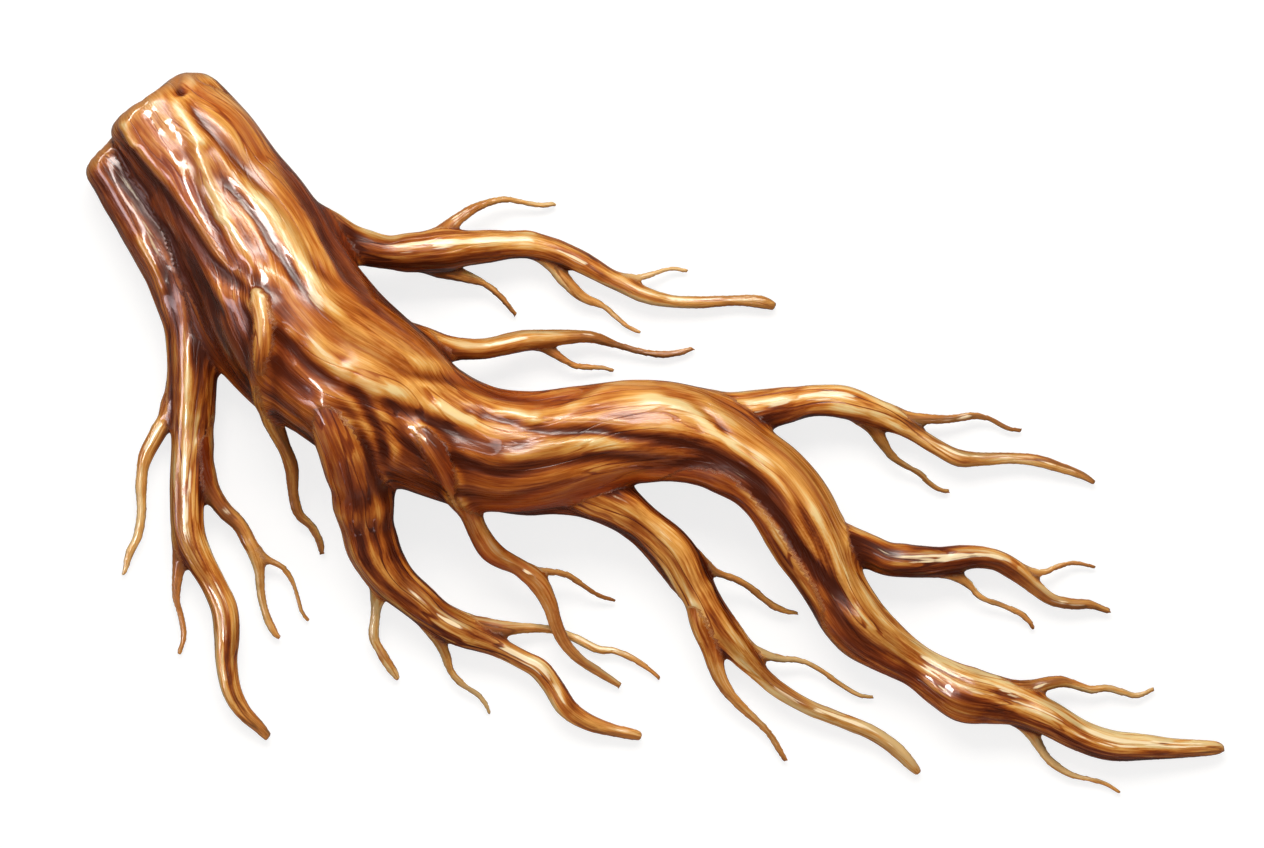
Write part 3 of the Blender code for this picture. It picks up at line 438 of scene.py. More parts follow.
def value_noise(at: Array, seed: int) -> Array:
    """Smooth noise from -1 to 1: a random value at each whole-numbered corner, blended across the cell.

    Args:
        at: Points, one row each, in cells.
        seed: Chooses the pattern.

    Returns:
        One value for each point.
    """
    cell = np.floor(at).astype(np.int64)
    share = at - cell
    share = share * share * (3 - 2 * share)
    total = np.zeros(len(at))
    for corner in product((0, 1), repeat=3):
        x, y, z = (cell + corner).T
        mixed = (x * 73856093) ^ (y * 19349663) ^ (z * 83492791) ^ (seed * 2654435761)
        mixed = (mixed ^ (mixed >> 13)) * 1274126177 & 0x7FFFFFFF
        value = ((mixed ^ (mixed >> 16)) & 0xFFFF) / 0x7FFF - 1.0
        total += value * np.prod(np.where(corner, share, 1 - share), axis=1)
    return total


def smoothstep(low: float, high: float, value: Array) -> Array:
    """0 below low, 1 above high, and an S-shaped rise between."""
    share = np.clip((value - low) / (high - low), 0.0, 1.0)
    return share * share * (3 - 2 * share)


def unit(rows: Array) -> Array:
    """Each row scaled to a length of one."""
    return rows / np.maximum(np.linalg.norm(rows, axis=-1, keepdims=True), 1e-12)


def smooth_curve(rows: Array, per_span: int) -> Array:
    """A smooth curve through the rows: each span is a cubic, whose slope at a row is half the step between
    that row's neighbours.

    Args:
        rows: The rows to pass through, with a column for each thing that changes.
        per_span: How many rows to make from one row to the next.

    Returns:
        The curve's rows, the last given one included.
    """
    ends = np.vstack((2 * rows[0] - rows[1], rows, 2 * rows[-1] - rows[-2]))
    before, start, stop, after = ends[:-3], ends[1:-2], ends[2:-1], ends[3:]
    share = (np.arange(per_span) / per_span)[:, None, None]
    curve = 0.5 * (
        2 * start
        + (stop - before) * share
        + (2 * before - 5 * start + 4 * stop - after) * share**2
        + (3 * start - before - 3 * stop + after) * share**3
    )
    return np.vstack((curve.transpose(1, 0, 2).reshape(-1, rows.shape[1]), rows[-1]))


def plan_of(points: Array) -> Array:
    """The plan x, y in millimetres of points in metres."""
    return points[:, :2] / MM + np.array(PLAN_MIDDLE[:2])


def fold_reach(fold: Fold, plan: Array) -> tuple[Array, Array, Array]:
    """Which points lie near a fold, and where.

    Args:
        fold: The fold.
        plan: Plan points x, y, in millimetres.

    Returns:
        The numbers of the points within four widths, how far each is to the fold's left in widths, and how
        much of the fold there is there: 1 along its middle, 0 at its ends.
    """
    way = smooth_curve(np.array(fold.way, float), 24)
    margin = 4 * fold.width
    inside = (plan > way.min(axis=0) - margin) & (plan < way.max(axis=0) + margin)
    close = np.flatnonzero(inside.all(axis=1))
    apart = np.linalg.norm(plan[close, None] - way[None], axis=2)
    nearest = apart.argmin(axis=1)
    distance = apart[np.arange(len(close)), nearest]
    ahead = np.gradient(way, axis=0)[nearest]
    offset = plan[close] - way[nearest]
    side = np.sign(ahead[:, 0] * offset[:, 1] - ahead[:, 1] * offset[:, 0])
    share = nearest / (len(way) - 1)
    faded = smoothstep(0.0, 0.2, share) * (1 - smoothstep(0.8, 1.0, share))
    return close, side * distance / fold.width, faded


@dataclass
class Axis:
    """A root's centre line, sampled evenly, with a frame that doesn't turn about it.

    Args:
        course: The root's course.
        spacing: Length between samples, in metres.
    """

    course: Course
    spacing: float = 0.0005

    def __post_init__(self) -> None:
        """Samples the smooth curve through the course and carries a frame along it."""
        rows = self._placed()
        curve = smooth_curve(rows, 32)
        steps = np.linalg.norm(np.diff(curve[:, :3], axis=0), axis=1)
        run = np.concatenate(([0.0], np.cumsum(steps)))
        self.length = run[-1]
        count = max(8, int(self.length / self.spacing))
        self.run = np.linspace(0.0, self.length, count)
        even = np.column_stack([np.interp(self.run, run, column) for column in curve.T])
        self.centre, self.radius = even[:, :3], even[:, 3]
        self._knot()
        self.tangent = unit(np.gradient(self.centre, axis=0))
        self.cut = self.course.name in CUT_ROOTS
        self.normal, self.binormal = self._carried_frame()

    def _placed(self) -> Array:
        """The course's points in the row frame, in metres: x, y, z and radius."""
        x, y, lift, radius = np.array(self.course.points, float).T
        centre = np.column_stack((x, y, lift + radius)) - PLAN_MIDDLE
        return np.column_stack((centre, radius)) * MM

    def _knot(self) -> None:
        """Gives a side root or a rootlet the uneven girth of a grown one, and a stem a little of it.

        The radius swells and shrinks by a smooth noise of the length, with a finer one added at half its
        strength, and the centre line sways by two more. All of it grows from nothing at the root's base.
        """
        share = KNOT_SHARE[self.course.kind]
        seed = zlib.crc32(self.course.name.encode()) % 997
        girth = self.radius.mean()
        line = np.zeros((len(self.run), 3))
        line[:, 0] = self.run / (2.2 * girth + 0.004)
        swell = value_noise(line, seed) + 0.5 * value_noise(2.3 * line, seed + 1)
        ends = smoothstep(0.0, 0.08, self.run / self.length)
        self.radius = self.radius * (1 + share * swell * ends)
        for part in range(2):
            sway = value_noise(0.9 * line + 0.37, seed + 2 + part)
            self.centre[:, part] += 1.4 * share * self.radius * sway * ends
        self.radius = np.maximum(self.radius, THINNEST)

    def _carried_frame(self) -> tuple[Array, Array]:
        """Carries a side direction along the axis, each time without its share along the new tangent.

        Returns:
            The side direction and the one square to it and to the axis, at each sample.
        """
        normal = np.empty_like(self.tangent)
        side = np.array((0.0, 0.0, 1.0))
        for i, tangent in enumerate(self.tangent):
            side = side - tangent * (side @ tangent)
            side /= np.linalg.norm(side)
            normal[i] = side
        return normal, np.cross(self.tangent, normal)

    def tube(self, around: int, step: float) -> tuple[Array, Array]:
        """The root as a closed grid: a circle of the axis's radius, carried along it, with a round far end.

        Args:
            around: Points round the profile.
            step: Length between rings, in metres.

        Returns:
            Its points and its faces, as quads with the ends closed by triangles that repeat a corner.
        """
        rings = max(4, int(self.length / step))
        at = np.linspace(0, len(self.run) - 1, rings).astype(int)
        turn = np.linspace(0, 2 * math.pi, around, endpoint=False)
        round_off = np.sqrt(np.clip((self.length - self.run[at]) / self.radius[-1], 0.02, 1.0))
        radius = np.maximum(self.radius[at] * round_off, FUSED_LEAST)[:, None, None]
        points = self.centre[at][:, None] + radius * (
            np.cos(turn)[None, :, None] * self.normal[at][:, None]
            + np.sin(turn)[None, :, None] * self.binormal[at][:, None]
        )
        points = np.vstack((points.reshape(-1, 3), self.centre[at[0]], self.centre[at[-1]]))
        i, j = np.meshgrid(np.arange(rings - 1), np.arange(around), indexing="ij")
        k = (j + 1) % around
        quads = np.stack((i * around + j, i * around + k, (i + 1) * around + k, (i + 1) * around + j), -1)
        ring = np.arange(around)
        after = (ring + 1) % around
        base = (rings - 1) * around
        first = np.full(around, rings * around)
        start = np.column_stack((first, after, ring, first))
        stop = np.column_stack((first + 1, base + ring, base + after, first + 1))
        return points, np.vstack((quads.reshape(-1, 4), start, stop))

    def locate(self, points: Array) -> tuple[Array, Array, Array, Array, Array]:
        """Where points lie along and round the root.

        Args:
            points: Points near the root, one row each.

        Returns:
            For each point: the length along the root, the turn round it, the root's radius there, the
            distance outside its surface, and the direction away from it.
        """
        nearest = np.empty(len(points), int)
        square = (self.centre**2).sum(axis=1)
        for start in range(0, len(points), AXIS_ROWS):
            block = points[start : start + AXIS_ROWS]
            nearest[start : start + AXIS_ROWS] = np.argmin(square - 2 * block @ self.centre.T, axis=1)
        offset = points - self.centre[nearest]
        tangent = self.tangent[nearest]
        along = (offset * tangent).sum(axis=1)
        inside = np.clip(along, -self.spacing, self.spacing)
        open_end = ((nearest > 0) | self.cut) & (nearest < len(self.run) - 1)
        along = np.where(open_end, along, inside)
        away = offset - along[:, None] * tangent
        run = self.run[nearest] + along
        beside = (away * self.binormal[nearest]).sum(axis=1)
        turn = np.arctan2(beside, (away * self.normal[nearest]).sum(axis=1))
        radius = self.radius[nearest]
        distance = np.linalg.norm(away, axis=1)
        outside, away = distance - radius, away / np.maximum(distance, 1e-9)[:, None]
        if self.cut:
            outside, away = self._squared_off(points, outside, away)
        return run, turn, radius, outside, away

    def _squared_off(self, points: Array, outside: Array, away: Array) -> tuple[Array, Array]:
        """The distance outside the root, and its direction, once the root is cut flat at its start.

        The rim is round: both distances are measured from a rim set in by its radius, and the two together
        make the distance as the sides of a right angle do.

        Args:
            points: The points.
            outside: Their distance outside the uncut root.
            away: The direction of that distance.

        Returns:
            The distance outside the cut root, and its direction.
        """
        side = outside + CUT_ROUNDING
        end = (self.centre[0] - points) @ self.tangent[0] + CUT_ROUNDING
        to_side = np.where(side >= end, np.maximum(side, 1e-9), np.maximum(side, 0.0))
        to_end = np.where(side < end, np.maximum(end, 1e-9), np.maximum(end, 0.0))
        rounded = np.hypot(np.maximum(side, 0.0), np.maximum(end, 0.0))
        cut = rounded + np.minimum(np.maximum(side, end), 0.0) - CUT_ROUNDING
        return cut, unit(to_side[:, None] * away - to_end[:, None] * self.tangent[0])


@dataclass
class Bark:
    """What is known at each point of the skin; each is one row per point.

    Args:
        near: The number of the root that counts most there.
        level: The fused surface's level: above 0 inside it, below 0 outside.
        slope: The level's gradient.
        lead: The share of the level that the near root gives.
        radius: The near root's radius.
        run: The length along the near root.
        turn: The turn round the near root.
    """

    near: Array
    level: Array
    slope: Array
    lead: Array
    radius: Array
    run: Array
    turn: Array


@dataclass(frozen=True)
class Ridging:
    """One size of the ridges that run along the bark.

    Args:
        spacing: Width from ridge to ridge, in millimetres.
        length: Length in which a ridge wanders off, in millimetres.
        stout: Height on a thick root, as a share of its radius.
        slim: The same on a slim root.
        seed: Added to the skin's seed.
    """

    spacing: float
    length: float
    stout: float
    slim: float
    seed: int


RIDGINGS = (
    Ridging(10, 75, 0.06, 0.05, 1),
    Ridging(5, 46, 0.03, 0.14, 2),
    Ridging(2.6, 26, 0.012, 0.08, 3),
)


@dataclass(frozen=True)
class Toning:
    """How much each thing changes the bark's tone, where 0 is darkest and 1 is palest.

    Args:
        middle: The tone of plain bark.
        slim: How much darker a slim root is.
        flank: How much painted shade darkens the sides that turn down.
        broad: What the broad streaks add at most.
        broad_slim: What they add on top of that on a slim root.
        fine: What the fine streaks add at most.
        fine_slim: What they add on top of that on a slim root.
        crest: How much paler a laid ridge is, as a painted highlight along its top.
        facing: How much paler a thick root's lit side is, and darker the other, as painted light and shade.
        facing_slim: The same for a slim root.
        seam: How much of a crease a joint is.
        highlight_stout: How much painted highlight a thick root gets, where a slim one gets it all.
        highlight_crest: How much painted highlight a laid ridge gets on top of that.
        dull_dark_patch: How much gloss a dark patch takes away, for its tone.
        dull_crease: How much gloss a crease takes away.
        dull_hollow: How much gloss a hollow takes away.
    """

    middle: float = 0.48
    slim: float = 0.06
    flank: float = 0.24
    broad: float = 0.17
    broad_slim: float = 0.2
    fine: float = 0.14
    fine_slim: float = 0.26
    crest: float = 0.16
    facing: float = 0.13
    # seam: How much painted crease shade a joint gets.
    facing_slim: float = 0.42
    seam: float = 0.6
    highlight_stout: float = 0.2
    highlight_crest: float = 0.55
    dull_dark_patch: float = 2.4
    dull_crease: float = 0.7
    dull_hollow: float = 0.8


@dataclass
class RootSkin:
    """The root's whole skin, fused from its roots.

    Args:
        courses: The roots' courses.
        cell: Size of the skin's mesh, in metres.
        blend_share: How far a root swells its neighbours, as a share of its own radius.
        blend_least: The least of that, in metres.
        ridge_seed: Chooses the pattern of the bark's ridges.
        toning: How the bark's tone is made up.
        axes: The roots' centre lines, which build fills in.
    """

    courses: Sequence[Course]
    cell: float = 0.00083
    blend_share: float = 0.11
    blend_least: float = 0.00045
    ridge_seed: int = 11
    toning: Toning = Toning()
    axes: list[Axis] = field(default_factory=list)

    def build(self) -> bpy.types.Object:
        """Makes the skin's object, with its marks as attributes.

        Returns:
            The object, with no material yet.
        """
        self.axes = [Axis(course) for course in self.courses]
        points, quads = self._fused()
        LOG.info("fused skin: %d points, %d quads", len(points), len(quads))
        for _ in range(SETTLING_ROUNDS):
            points = self._settled(points, self._bark(points))
        points = relaxed(points, quads, rounds=2)
        bark = self._bark(points)
        grain = self._grain(points, bark)
        normals = vertex_normals(points, quads)
        ridge, crease_shade = self._ridges(bark, grain)
        relief, groove_shade, crest = self._folds(points, normals, bark)
        points = points + normals * (ridge + relief)[:, None]
        points[:, 2] = np.maximum(points[:, 2], 0.0)
        mesh = bpy.data.meshes.new("root_skin")
        put_mesh(mesh, points, quads)
        # The ridges' valleys and the folds' grooves together make the painted crease shade.
        crease_shade = np.clip(crease_shade + groove_shade, 0.0, 1.0)
        self._mark(mesh, points, quads, bark, grain, crease_shade, crest)
        skin = bpy.data.objects.new("root_skin", mesh)
        bpy.context.collection.objects.link(skin)
        return skin

    def _fused(self) -> tuple[Array, Array]:
        """All the roots' tubes as one closed skin of even quads, by a voxel remesh at the skin's cell.

        Returns:
            The skin's points and its quads.
        """
        points, quads, count = [], [], 0
        for axis in self.axes:
            around = int(np.clip(2 * math.pi * axis.radius.max() / self.cell, 12, 90))
            tube, faces = axis.tube(around, 1.5 * self.cell)
            points.append(tube)
            quads.append(faces + count)
            count += len(tube)
        mesh = bpy.data.meshes.new("tubes")
        put_mesh(mesh, np.vstack(points), np.vstack(quads))
        tubes = bpy.data.objects.new("tubes", mesh)
        bpy.context.collection.objects.link(tubes)
        remesh = tubes.modifiers.new("fuse", "REMESH")
        remesh.mode = "VOXEL"
        remesh.voxel_size = self.cell
        bpy.context.view_layer.update()
        graph = bpy.context.evaluated_depsgraph_get()
        fused = bpy.data.meshes.new_from_object(tubes.evaluated_get(graph))
        bpy.data.objects.remove(tubes)
        return mesh_arrays(fused)

    def _bark(self, points: Array) -> Bark:
        """The fused surface's level at each point, and where the point lies on the root that counts most.

        The level is the logarithm of a sum with one term for each root: e to the power of minus the distance
        outside that root's surface over its own blend length. It is 0 on a lone root's surface, and where two
        roots meet it is 0 a little further out, on a soft joint.

        Args:
            points: Points on or near the skin, one row each.

        Returns:
            What is known at each of them.
        """
        count = len(points)
        total, slope = np.zeros(count), np.zeros((count, 3))
        most = np.zeros(count)
        near = np.zeros(count, int)
        radius, run, turn = np.ones(count), np.zeros(count), np.zeros(count)
        for number, axis in enumerate(self.axes):
            reach = axis.radius.max() + TERM_REACH
            low, high = axis.centre.min(axis=0) - reach, axis.centre.max(axis=0) + reach
            close = np.flatnonzero(((points > low) & (points < high)).all(axis=1))
            along, round_it, thick, outside, away = axis.locate(points[close])
            blend = self.blend_least + self.blend_share * thick
            term = np.exp(np.clip(-outside / blend, -40.0, 12.0))
            total[close] += term
            slope[close] -= away * (term / blend)[:, None]
            leads = term > most[close]
            lead = close[leads]
            most[lead], near[lead], radius[lead] = term[leads], number, thick[leads]
            run[lead], turn[lead] = along[leads], round_it[leads]
        total = np.maximum(total, 1e-30)
        return Bark(near, np.log(total), slope / total[:, None], most / total, radius, run, turn)

    @staticmethod
    def _joint(bark: Bark) -> Array:
        """How far into a soft joint each point is: 1 where two roots count the same, 0 where one rules."""
        return np.clip(2 * (1 - bark.lead), 0.0, 1.0)

    @staticmethod
    def _settled(points: Array, bark: Bark) -> Array:
        """Moves points along the level's gradient to where it is 0: by the level over the gradient's length.

        Args:
            points: The skin's points.
            bark: What is known at each.

        Returns:
            The moved points, none of them by more than MOST_MOVE.
        """
        steep = (bark.slope**2).sum(axis=1)
        move = -(bark.level / np.maximum(steep, 1e-9))[:, None] * bark.slope
        size = np.linalg.norm(move, axis=1, keepdims=True)
        return points + move * np.minimum(1.0, MOST_MOVE / np.maximum(size, 1e-12))

    def _grain(self, points: Array, bark: Bark) -> Array:
        """Bark coordinates: along the root, and round it on a circle that narrows more slowly than the root.

        The turn round it sways with a smooth noise of the place, so that the grain winds, parts and meets.

        Args:
            points: The skin's points.
            bark: What is known at each.

        Returns:
            Length along the root, and two parts of the circle round it, in metres.
        """
        mean = np.array([axis.radius.mean() for axis in self.axes])[bark.near]
        reach = mean * (bark.radius / mean) ** 0.6
        turn = bark.turn + sum(share * value_noise(points / (size * MM), seed) for size, share, seed in SWAYS)
        return np.column_stack((bark.run, reach * np.cos(turn), reach * np.sin(turn)))

    def _ridges(self, bark: Bark, grain: Array) -> tuple[Array, Array]:
        """How far the bark stands out, and how much painted shade its creases get.

        A ridge's height is the size of a stretched noise: it is least where the noise changes sign, which
        makes a soft valley that wanders along the root, and round between valleys.

        Args:
            bark: What is known at each point.
            grain: The bark coordinates.

        Returns:
            The height in metres, and the painted crease shade from 0 to 1.
        """
        fade = 1 - smoothstep(0.3, 1.0, self._joint(bark))
        height = np.zeros(len(grain))
        crease_shade = np.zeros(len(grain))
        offset = bark.near * 7.31
        stout = smoothstep(*STOUT_RADII, bark.radius)
        for size in RIDGINGS:
            stretched = grain / (np.array((size.length, size.spacing, size.spacing)) * MM) + offset[:, None]
            noise = value_noise(stretched, self.ridge_seed + size.seed)
            rise = np.sqrt(noise**2 + VALLEY_ROUNDING) - MEAN_RISE
            share = size.slim + (size.stout - size.slim) * stout
            height += share * bark.radius * rise
            # Painted shade in the valley between two ridges.
            crease_shade += share * VALLEY_SHADE * np.exp(-((noise / VALLEY_WIDTH) ** 2))
        return height * fade, np.clip(crease_shade * fade, 0.0, 1.0)

    def _folds(self, points: Array, normals: Array, bark: Bark) -> tuple[Array, Array, Array]:
        """How far the listed folds move each point out, and how far it lies in a groove or on a ridge.

        A groove is a valley of the bell shape, with a lower and wider bell on its left for the lip.

        Args:
            points: The skin's points.
            normals: Their outward directions.
            bark: What is known at each.

        Returns:
            The move in metres, the painted shade in the groove, and how far up a ridge the point is, from 0
            to 1.
        """
        stout = np.array([course.kind is not Kind.ROOTLET for course in self.courses])[bark.near]
        upper = smoothstep(0.0, 0.4, normals[:, 2]) * stout
        plan = plan_of(points)
        relief, groove_shade, crest = np.zeros((3, len(points)))
        for fold in FOLDS:
            close, left, faded = fold_reach(fold, plan)
            faded = faded * upper[close]
            bell = np.exp(-(left**2)) * faded * FOLD_DEPTH
            lip = np.exp(-(((left - LIP_PLACE) / LIP_WIDTH) ** 2)) * faded * FOLD_DEPTH
            relief[close] += (fold.lip * lip - fold.depth * bell) * MM
            if fold.depth > 0:
                # Painted shade along the groove's bottom.
                groove_shade[close] += np.exp(-((left / 0.5) ** 2)) * faded * min(1.0, fold.depth / FULL_GROOVE)
            else:
                crest[close] += bell
        return relief, groove_shade, np.clip(crest, 0.0, 1.0)

    @staticmethod
    def _light_and_tone_patches(points: Array, normals: Array) -> Array:
        """How much paler the skin is by the patches on its upper side, partly painted light and shade: each
        adds its tone times a bell shape.

        Args:
            points: The skin's points.
            normals: Their outward directions.

        Returns:
            The change of tone at each point.
        """
        plan = plan_of(points)
        upper = smoothstep(-0.2, 0.3, normals[:, 2])
        paler = np.zeros(len(points))
        for patch in PATCHES:
            offset = plan - patch.middle
            turn = math.radians(patch.turn)
            along = (offset @ (math.cos(turn), math.sin(turn))) / patch.reach[0]
            across = (offset @ (-math.sin(turn), math.cos(turn))) / patch.reach[1]
            paler += patch.tone * upper * np.exp(-(along**2) - across**2)
        return paler

    def _mark(
        self,
        mesh: bpy.types.Mesh,
        points: Array,
        quads: Array,
        bark: Bark,
        grain: Array,
        crease_shade: Array,
        crest: Array,
    ) -> None:
        """Stores what the finish reads, as attributes of the skin's points.

        Args:
            mesh: The skin's mesh.
            points: Its points.
            quads: Its faces.
            bark: What is known at each point.
            grain: The bark coordinates.
            crease_shade: How much painted shade each point gets in a crease.
            crest: How far up a laid ridge it is.
        """
        toning = self.toning
        normals = vertex_normals(points, quads)
        # Painted shade in the hollows follows their depth.
        hollow_shade = self._hollow(points, quads, normals)
        slim = 1 - smoothstep(*SLIM_RADII, bark.radius)
        # Patches of painted light and shade, mixed with the bark's own tone.
        light_and_tone_patches = self._light_and_tone_patches(points, normals)
        # Painted shade in the joints between roots, added to the crease shade.
        seam = smoothstep(*JOINT_SHADE_SHARES, self._joint(bark))
        crease_shade = np.clip(crease_shade + toning.seam * seam, 0.0, 1.0)
        # A laid ridge is paler along its top, as a painted highlight.
        tone = self._tone(bark, grain, normals, slim) + toning.crest * crest + light_and_tone_patches
        shine = 1 + toning.dull_dark_patch * np.minimum(light_and_tone_patches, 0.0)
        shine -= toning.dull_crease * crease_shade + toning.dull_hollow * np.maximum(hollow_shade, 0.0)
        # Painted highlight: pale cream where the skin faces the highlight side, all over a slim root, in part
        # on a thick one, and on laid ridges.
        lit = normals @ unit(np.array(HIGHLIGHT_SIDE))
        painted_highlight = smoothstep(*HIGHLIGHT_FACING, lit) * (toning.highlight_stout + (1 - toning.highlight_stout) * slim)
        painted_highlight += toning.highlight_crest * crest * smoothstep(*CREST_HIGHLIGHT_FACING, lit)
        blended = np.column_stack((tone, hollow_shade, crease_shade, painted_highlight * (1 - seam)))
        tone, hollow_shade, crease_shade, painted_highlight = relaxed(blended, quads, 2).T
        marks = {
            "painted_highlight": np.clip(painted_highlight, 0.0, 1.0),
            "tone": tone,
            "hollow_shade": np.clip(hollow_shade, -1.0, 1.0),
            "crease_shade": crease_shade,
            "pale": 1 - smoothstep(*PALE_RADII, bark.radius),
            "cut": self._cut_share(bark),
            "slim": slim,
            "shine": np.clip(shine, 0.0, 1.0),
        }
        for name, values in marks.items():
            layer = mesh.attributes.new(name, "FLOAT", "POINT")
            layer.data.foreach_set("value", values.astype(np.float32))
        layer = mesh.attributes.new("grain", "FLOAT_VECTOR", "POINT")
        layer.data.foreach_set("vector", (grain + self._shift(bark) * 0.01).astype(np.float32).ravel())

    @staticmethod
    def _shift(bark: Bark) -> Array:
        """A column that sets each root's noise apart from the others'."""
        return (bark.near * 3.17)[:, None]

    def _hollow(self, points: Array, quads: Array, normals: Array) -> Array:
        """How far each point lies in a hollow, which sets the painted shade there: its depth below the skin
        once relaxed, in half cells.

        Args:
            points: The skin's points.
            quads: Its faces.
            normals: The points' outward directions.

        Returns:
            The depth, below 0 on a rise, added up for a little relaxing and for a lot.
        """
        hollow_shade = np.zeros(len(points))
        smooth = points
        for rounds in (3, 12):
            smooth = relaxed(smooth, quads, rounds)
            hollow_shade += ((smooth - points) * normals).sum(axis=1) / (self.cell * 0.5)
        return hollow_shade

    def _tone(self, bark: Bark, grain: Array, normals: Array, slim: Array) -> Array:
        """How pale the bark is, by broad and fine streaks along the grain, and by painted light and shade on
        the side it faces.

        Args:
            bark: What is known at each point.
            grain: The bark coordinates.
            normals: The points' outward directions.
            slim: How slim the root is there, from 0 to 1.

        Returns:
            The tone, where 0 is darkest and 1 is palest.
        """
        toning = self.toning
        broad, fine = (
            value_noise(grain / (np.array((length, width, width)) * MM) + self._shift(bark), seed)
            for length, width, seed in STREAKS
        )
        # Painted light and shade: paler on the lit side, darker on the other, and painted shade on the flanks
        # that turn down.
        stout_lit_side = toning.facing * (1 - slim) * (normals @ np.array(LIT_SIDE))
        slim_lit_side = toning.facing_slim * slim * (normals @ np.array(SLIM_LIT_SIDE))
        flank = 1 - smoothstep(0.0, 0.5, normals[:, 2])
        tone = toning.middle + stout_lit_side + slim_lit_side - toning.slim * slim - toning.flank * flank
        tone += (toning.broad + toning.broad_slim * slim) * broad
        return tone + (toning.fine + toning.fine_slim * slim) * fine

    def _cut_share(self, bark: Bark) -> Array:
        """How much of the cut's colour each point has: all of it at a cut end, none a little further on.

        Args:
            bark: What is known at each point.

        Returns:
            The share, from 0 to 1.
        """
        cut = np.zeros(len(bark.near))
        for number, axis in enumerate(self.axes):
            if axis.cut:
                mine = bark.near == number
                cut[mine] = 1 - smoothstep(*CUT_DEPTH, bark.run[mine])
        return cut


def put_mesh(mesh: bpy.types.Mesh, points: Array, quads: Array) -> None:
    """Fills a mesh with points and quads; a quad that repeats a corner becomes a triangle.

    Args:
        mesh: The mesh to fill.
        points: Corner points, one row each.
        quads: Four point numbers a row.
    """
    triangle = quads[:, 0] == quads[:, 3]
    counts = np.where(triangle, 3, 4)
    keep = np.ones(quads.shape, bool)
    keep[triangle, 3] = False
    loops = quads[keep]
    mesh.vertices.add(len(points))
    mesh.vertices.foreach_set("co", points.astype(np.float32).ravel())
    mesh.loops.add(len(loops))
    mesh.loops.foreach_set("vertex_index", loops.astype(np.int32))
    mesh.polygons.add(len(quads))
    mesh.polygons.foreach_set("loop_start", np.concatenate(([0], np.cumsum(counts)[:-1])).astype(np.int32))
    mesh.update(calc_edges=True)
    mesh.shade_smooth()


def mesh_arrays(mesh: bpy.types.Mesh) -> tuple[Array, Array]:
    """Reads a mesh that is all quads.

    Args:
        mesh: The mesh.

    Returns:
        Its points, one row each, and its quads, four point numbers a row.
    """
    points = np.empty(len(mesh.vertices) * 3)
    mesh.vertices.foreach_get("co", points)
    quads = np.empty(len(mesh.loops), np.int32)
    mesh.loops.foreach_get("vertex_index", quads)
    return points.reshape(-1, 3), quads.reshape(-1, 4).astype(int)


def relaxed(points: Array, quads: Array, rounds: int) -> Array:
    """Moves each row half way to the mean of its neighbours, as often as asked.

    Args:
        points: A row for each of the mesh's points: its place, or values stored there.
        quads: The mesh's faces.
        rounds: How often.

    Returns:
        The moved rows.
    """
    ends = np.vstack((quads[:, [0, 1]], quads[:, [1, 2]], quads[:, [2, 3]], quads[:, [3, 0]]))
    share = 1 / np.maximum(np.bincount(ends[:, 0], minlength=len(points)), 1)
    for _ in range(rounds):
        total = np.column_stack(
            [np.bincount(ends[:, 0], column[ends[:, 1]], minlength=len(points)) for column in points.T]
        )
        points = 0.5 * points + 0.5 * total * share[:, None]
    return points


def vertex_normals(points: Array, quads: Array) -> Array:
    """Outward directions: the sum of the cross products of the diagonals of the quads round each point.

    Args:
        points: The mesh's points.
        quads: Its faces.

    Returns:
        A unit row for each point.
    """
    cross = np.cross(points[quads[:, 2]] - points[quads[:, 0]], points[quads[:, 3]] - points[quads[:, 1]])
    corners = quads.ravel()
    spread = np.repeat(cross, 4, axis=0)
    sums = [np.bincount(corners, spread[:, k], minlength=len(points)) for k in range(3)]
    return unit(np.column_stack(sums))


Operand = Union["Socket", float, int]
Colour = tuple[float, ...]


class Socket:
    """A shader socket whose arithmetic adds Math nodes."""

    def __init__(self, tree: "Tree", link: bpy.types.NodeSocket) -> None:
        """Wraps one output socket of the tree."""
        self.tree = tree
        self.link = link

    def _math(self, operation: str, first: Operand, second: Operand) -> "Socket":
        """One Math node."""
        return self.tree.add("ShaderNodeMath", {"operation": operation}, {0: first, 1: second})

    def __add__(self, other: Operand) -> "Socket":
        """self + other."""
        return self._math("ADD", self, other)

    def __sub__(self, other: Operand) -> "Socket":
        """self - other."""
        return self._math("SUBTRACT", self, other)

    def __mul__(self, other: Operand) -> "Socket":
        """self * other."""
        return self._math("MULTIPLY", self, other)

    def __rsub__(self, other: Operand) -> "Socket":
        """other - self."""
        return self._math("SUBTRACT", other, self)

    __radd__ = __add__
    __rmul__ = __mul__

    def clamped(self) -> "Socket":
        """self, held between 0 and 1."""
        return self._math("MINIMUM", self._math("MAXIMUM", self, 0.0), 1.0)

    def between(self, low: float, high: float) -> "Socket":
        """0 below low, 1 above high, with a soft rise."""
        return self.tree.add(
            "ShaderNodeMapRange",
            {"interpolation_type": "SMOOTHSTEP"},
            {"Value": self, "From Min": low, "From Max": high},
        )


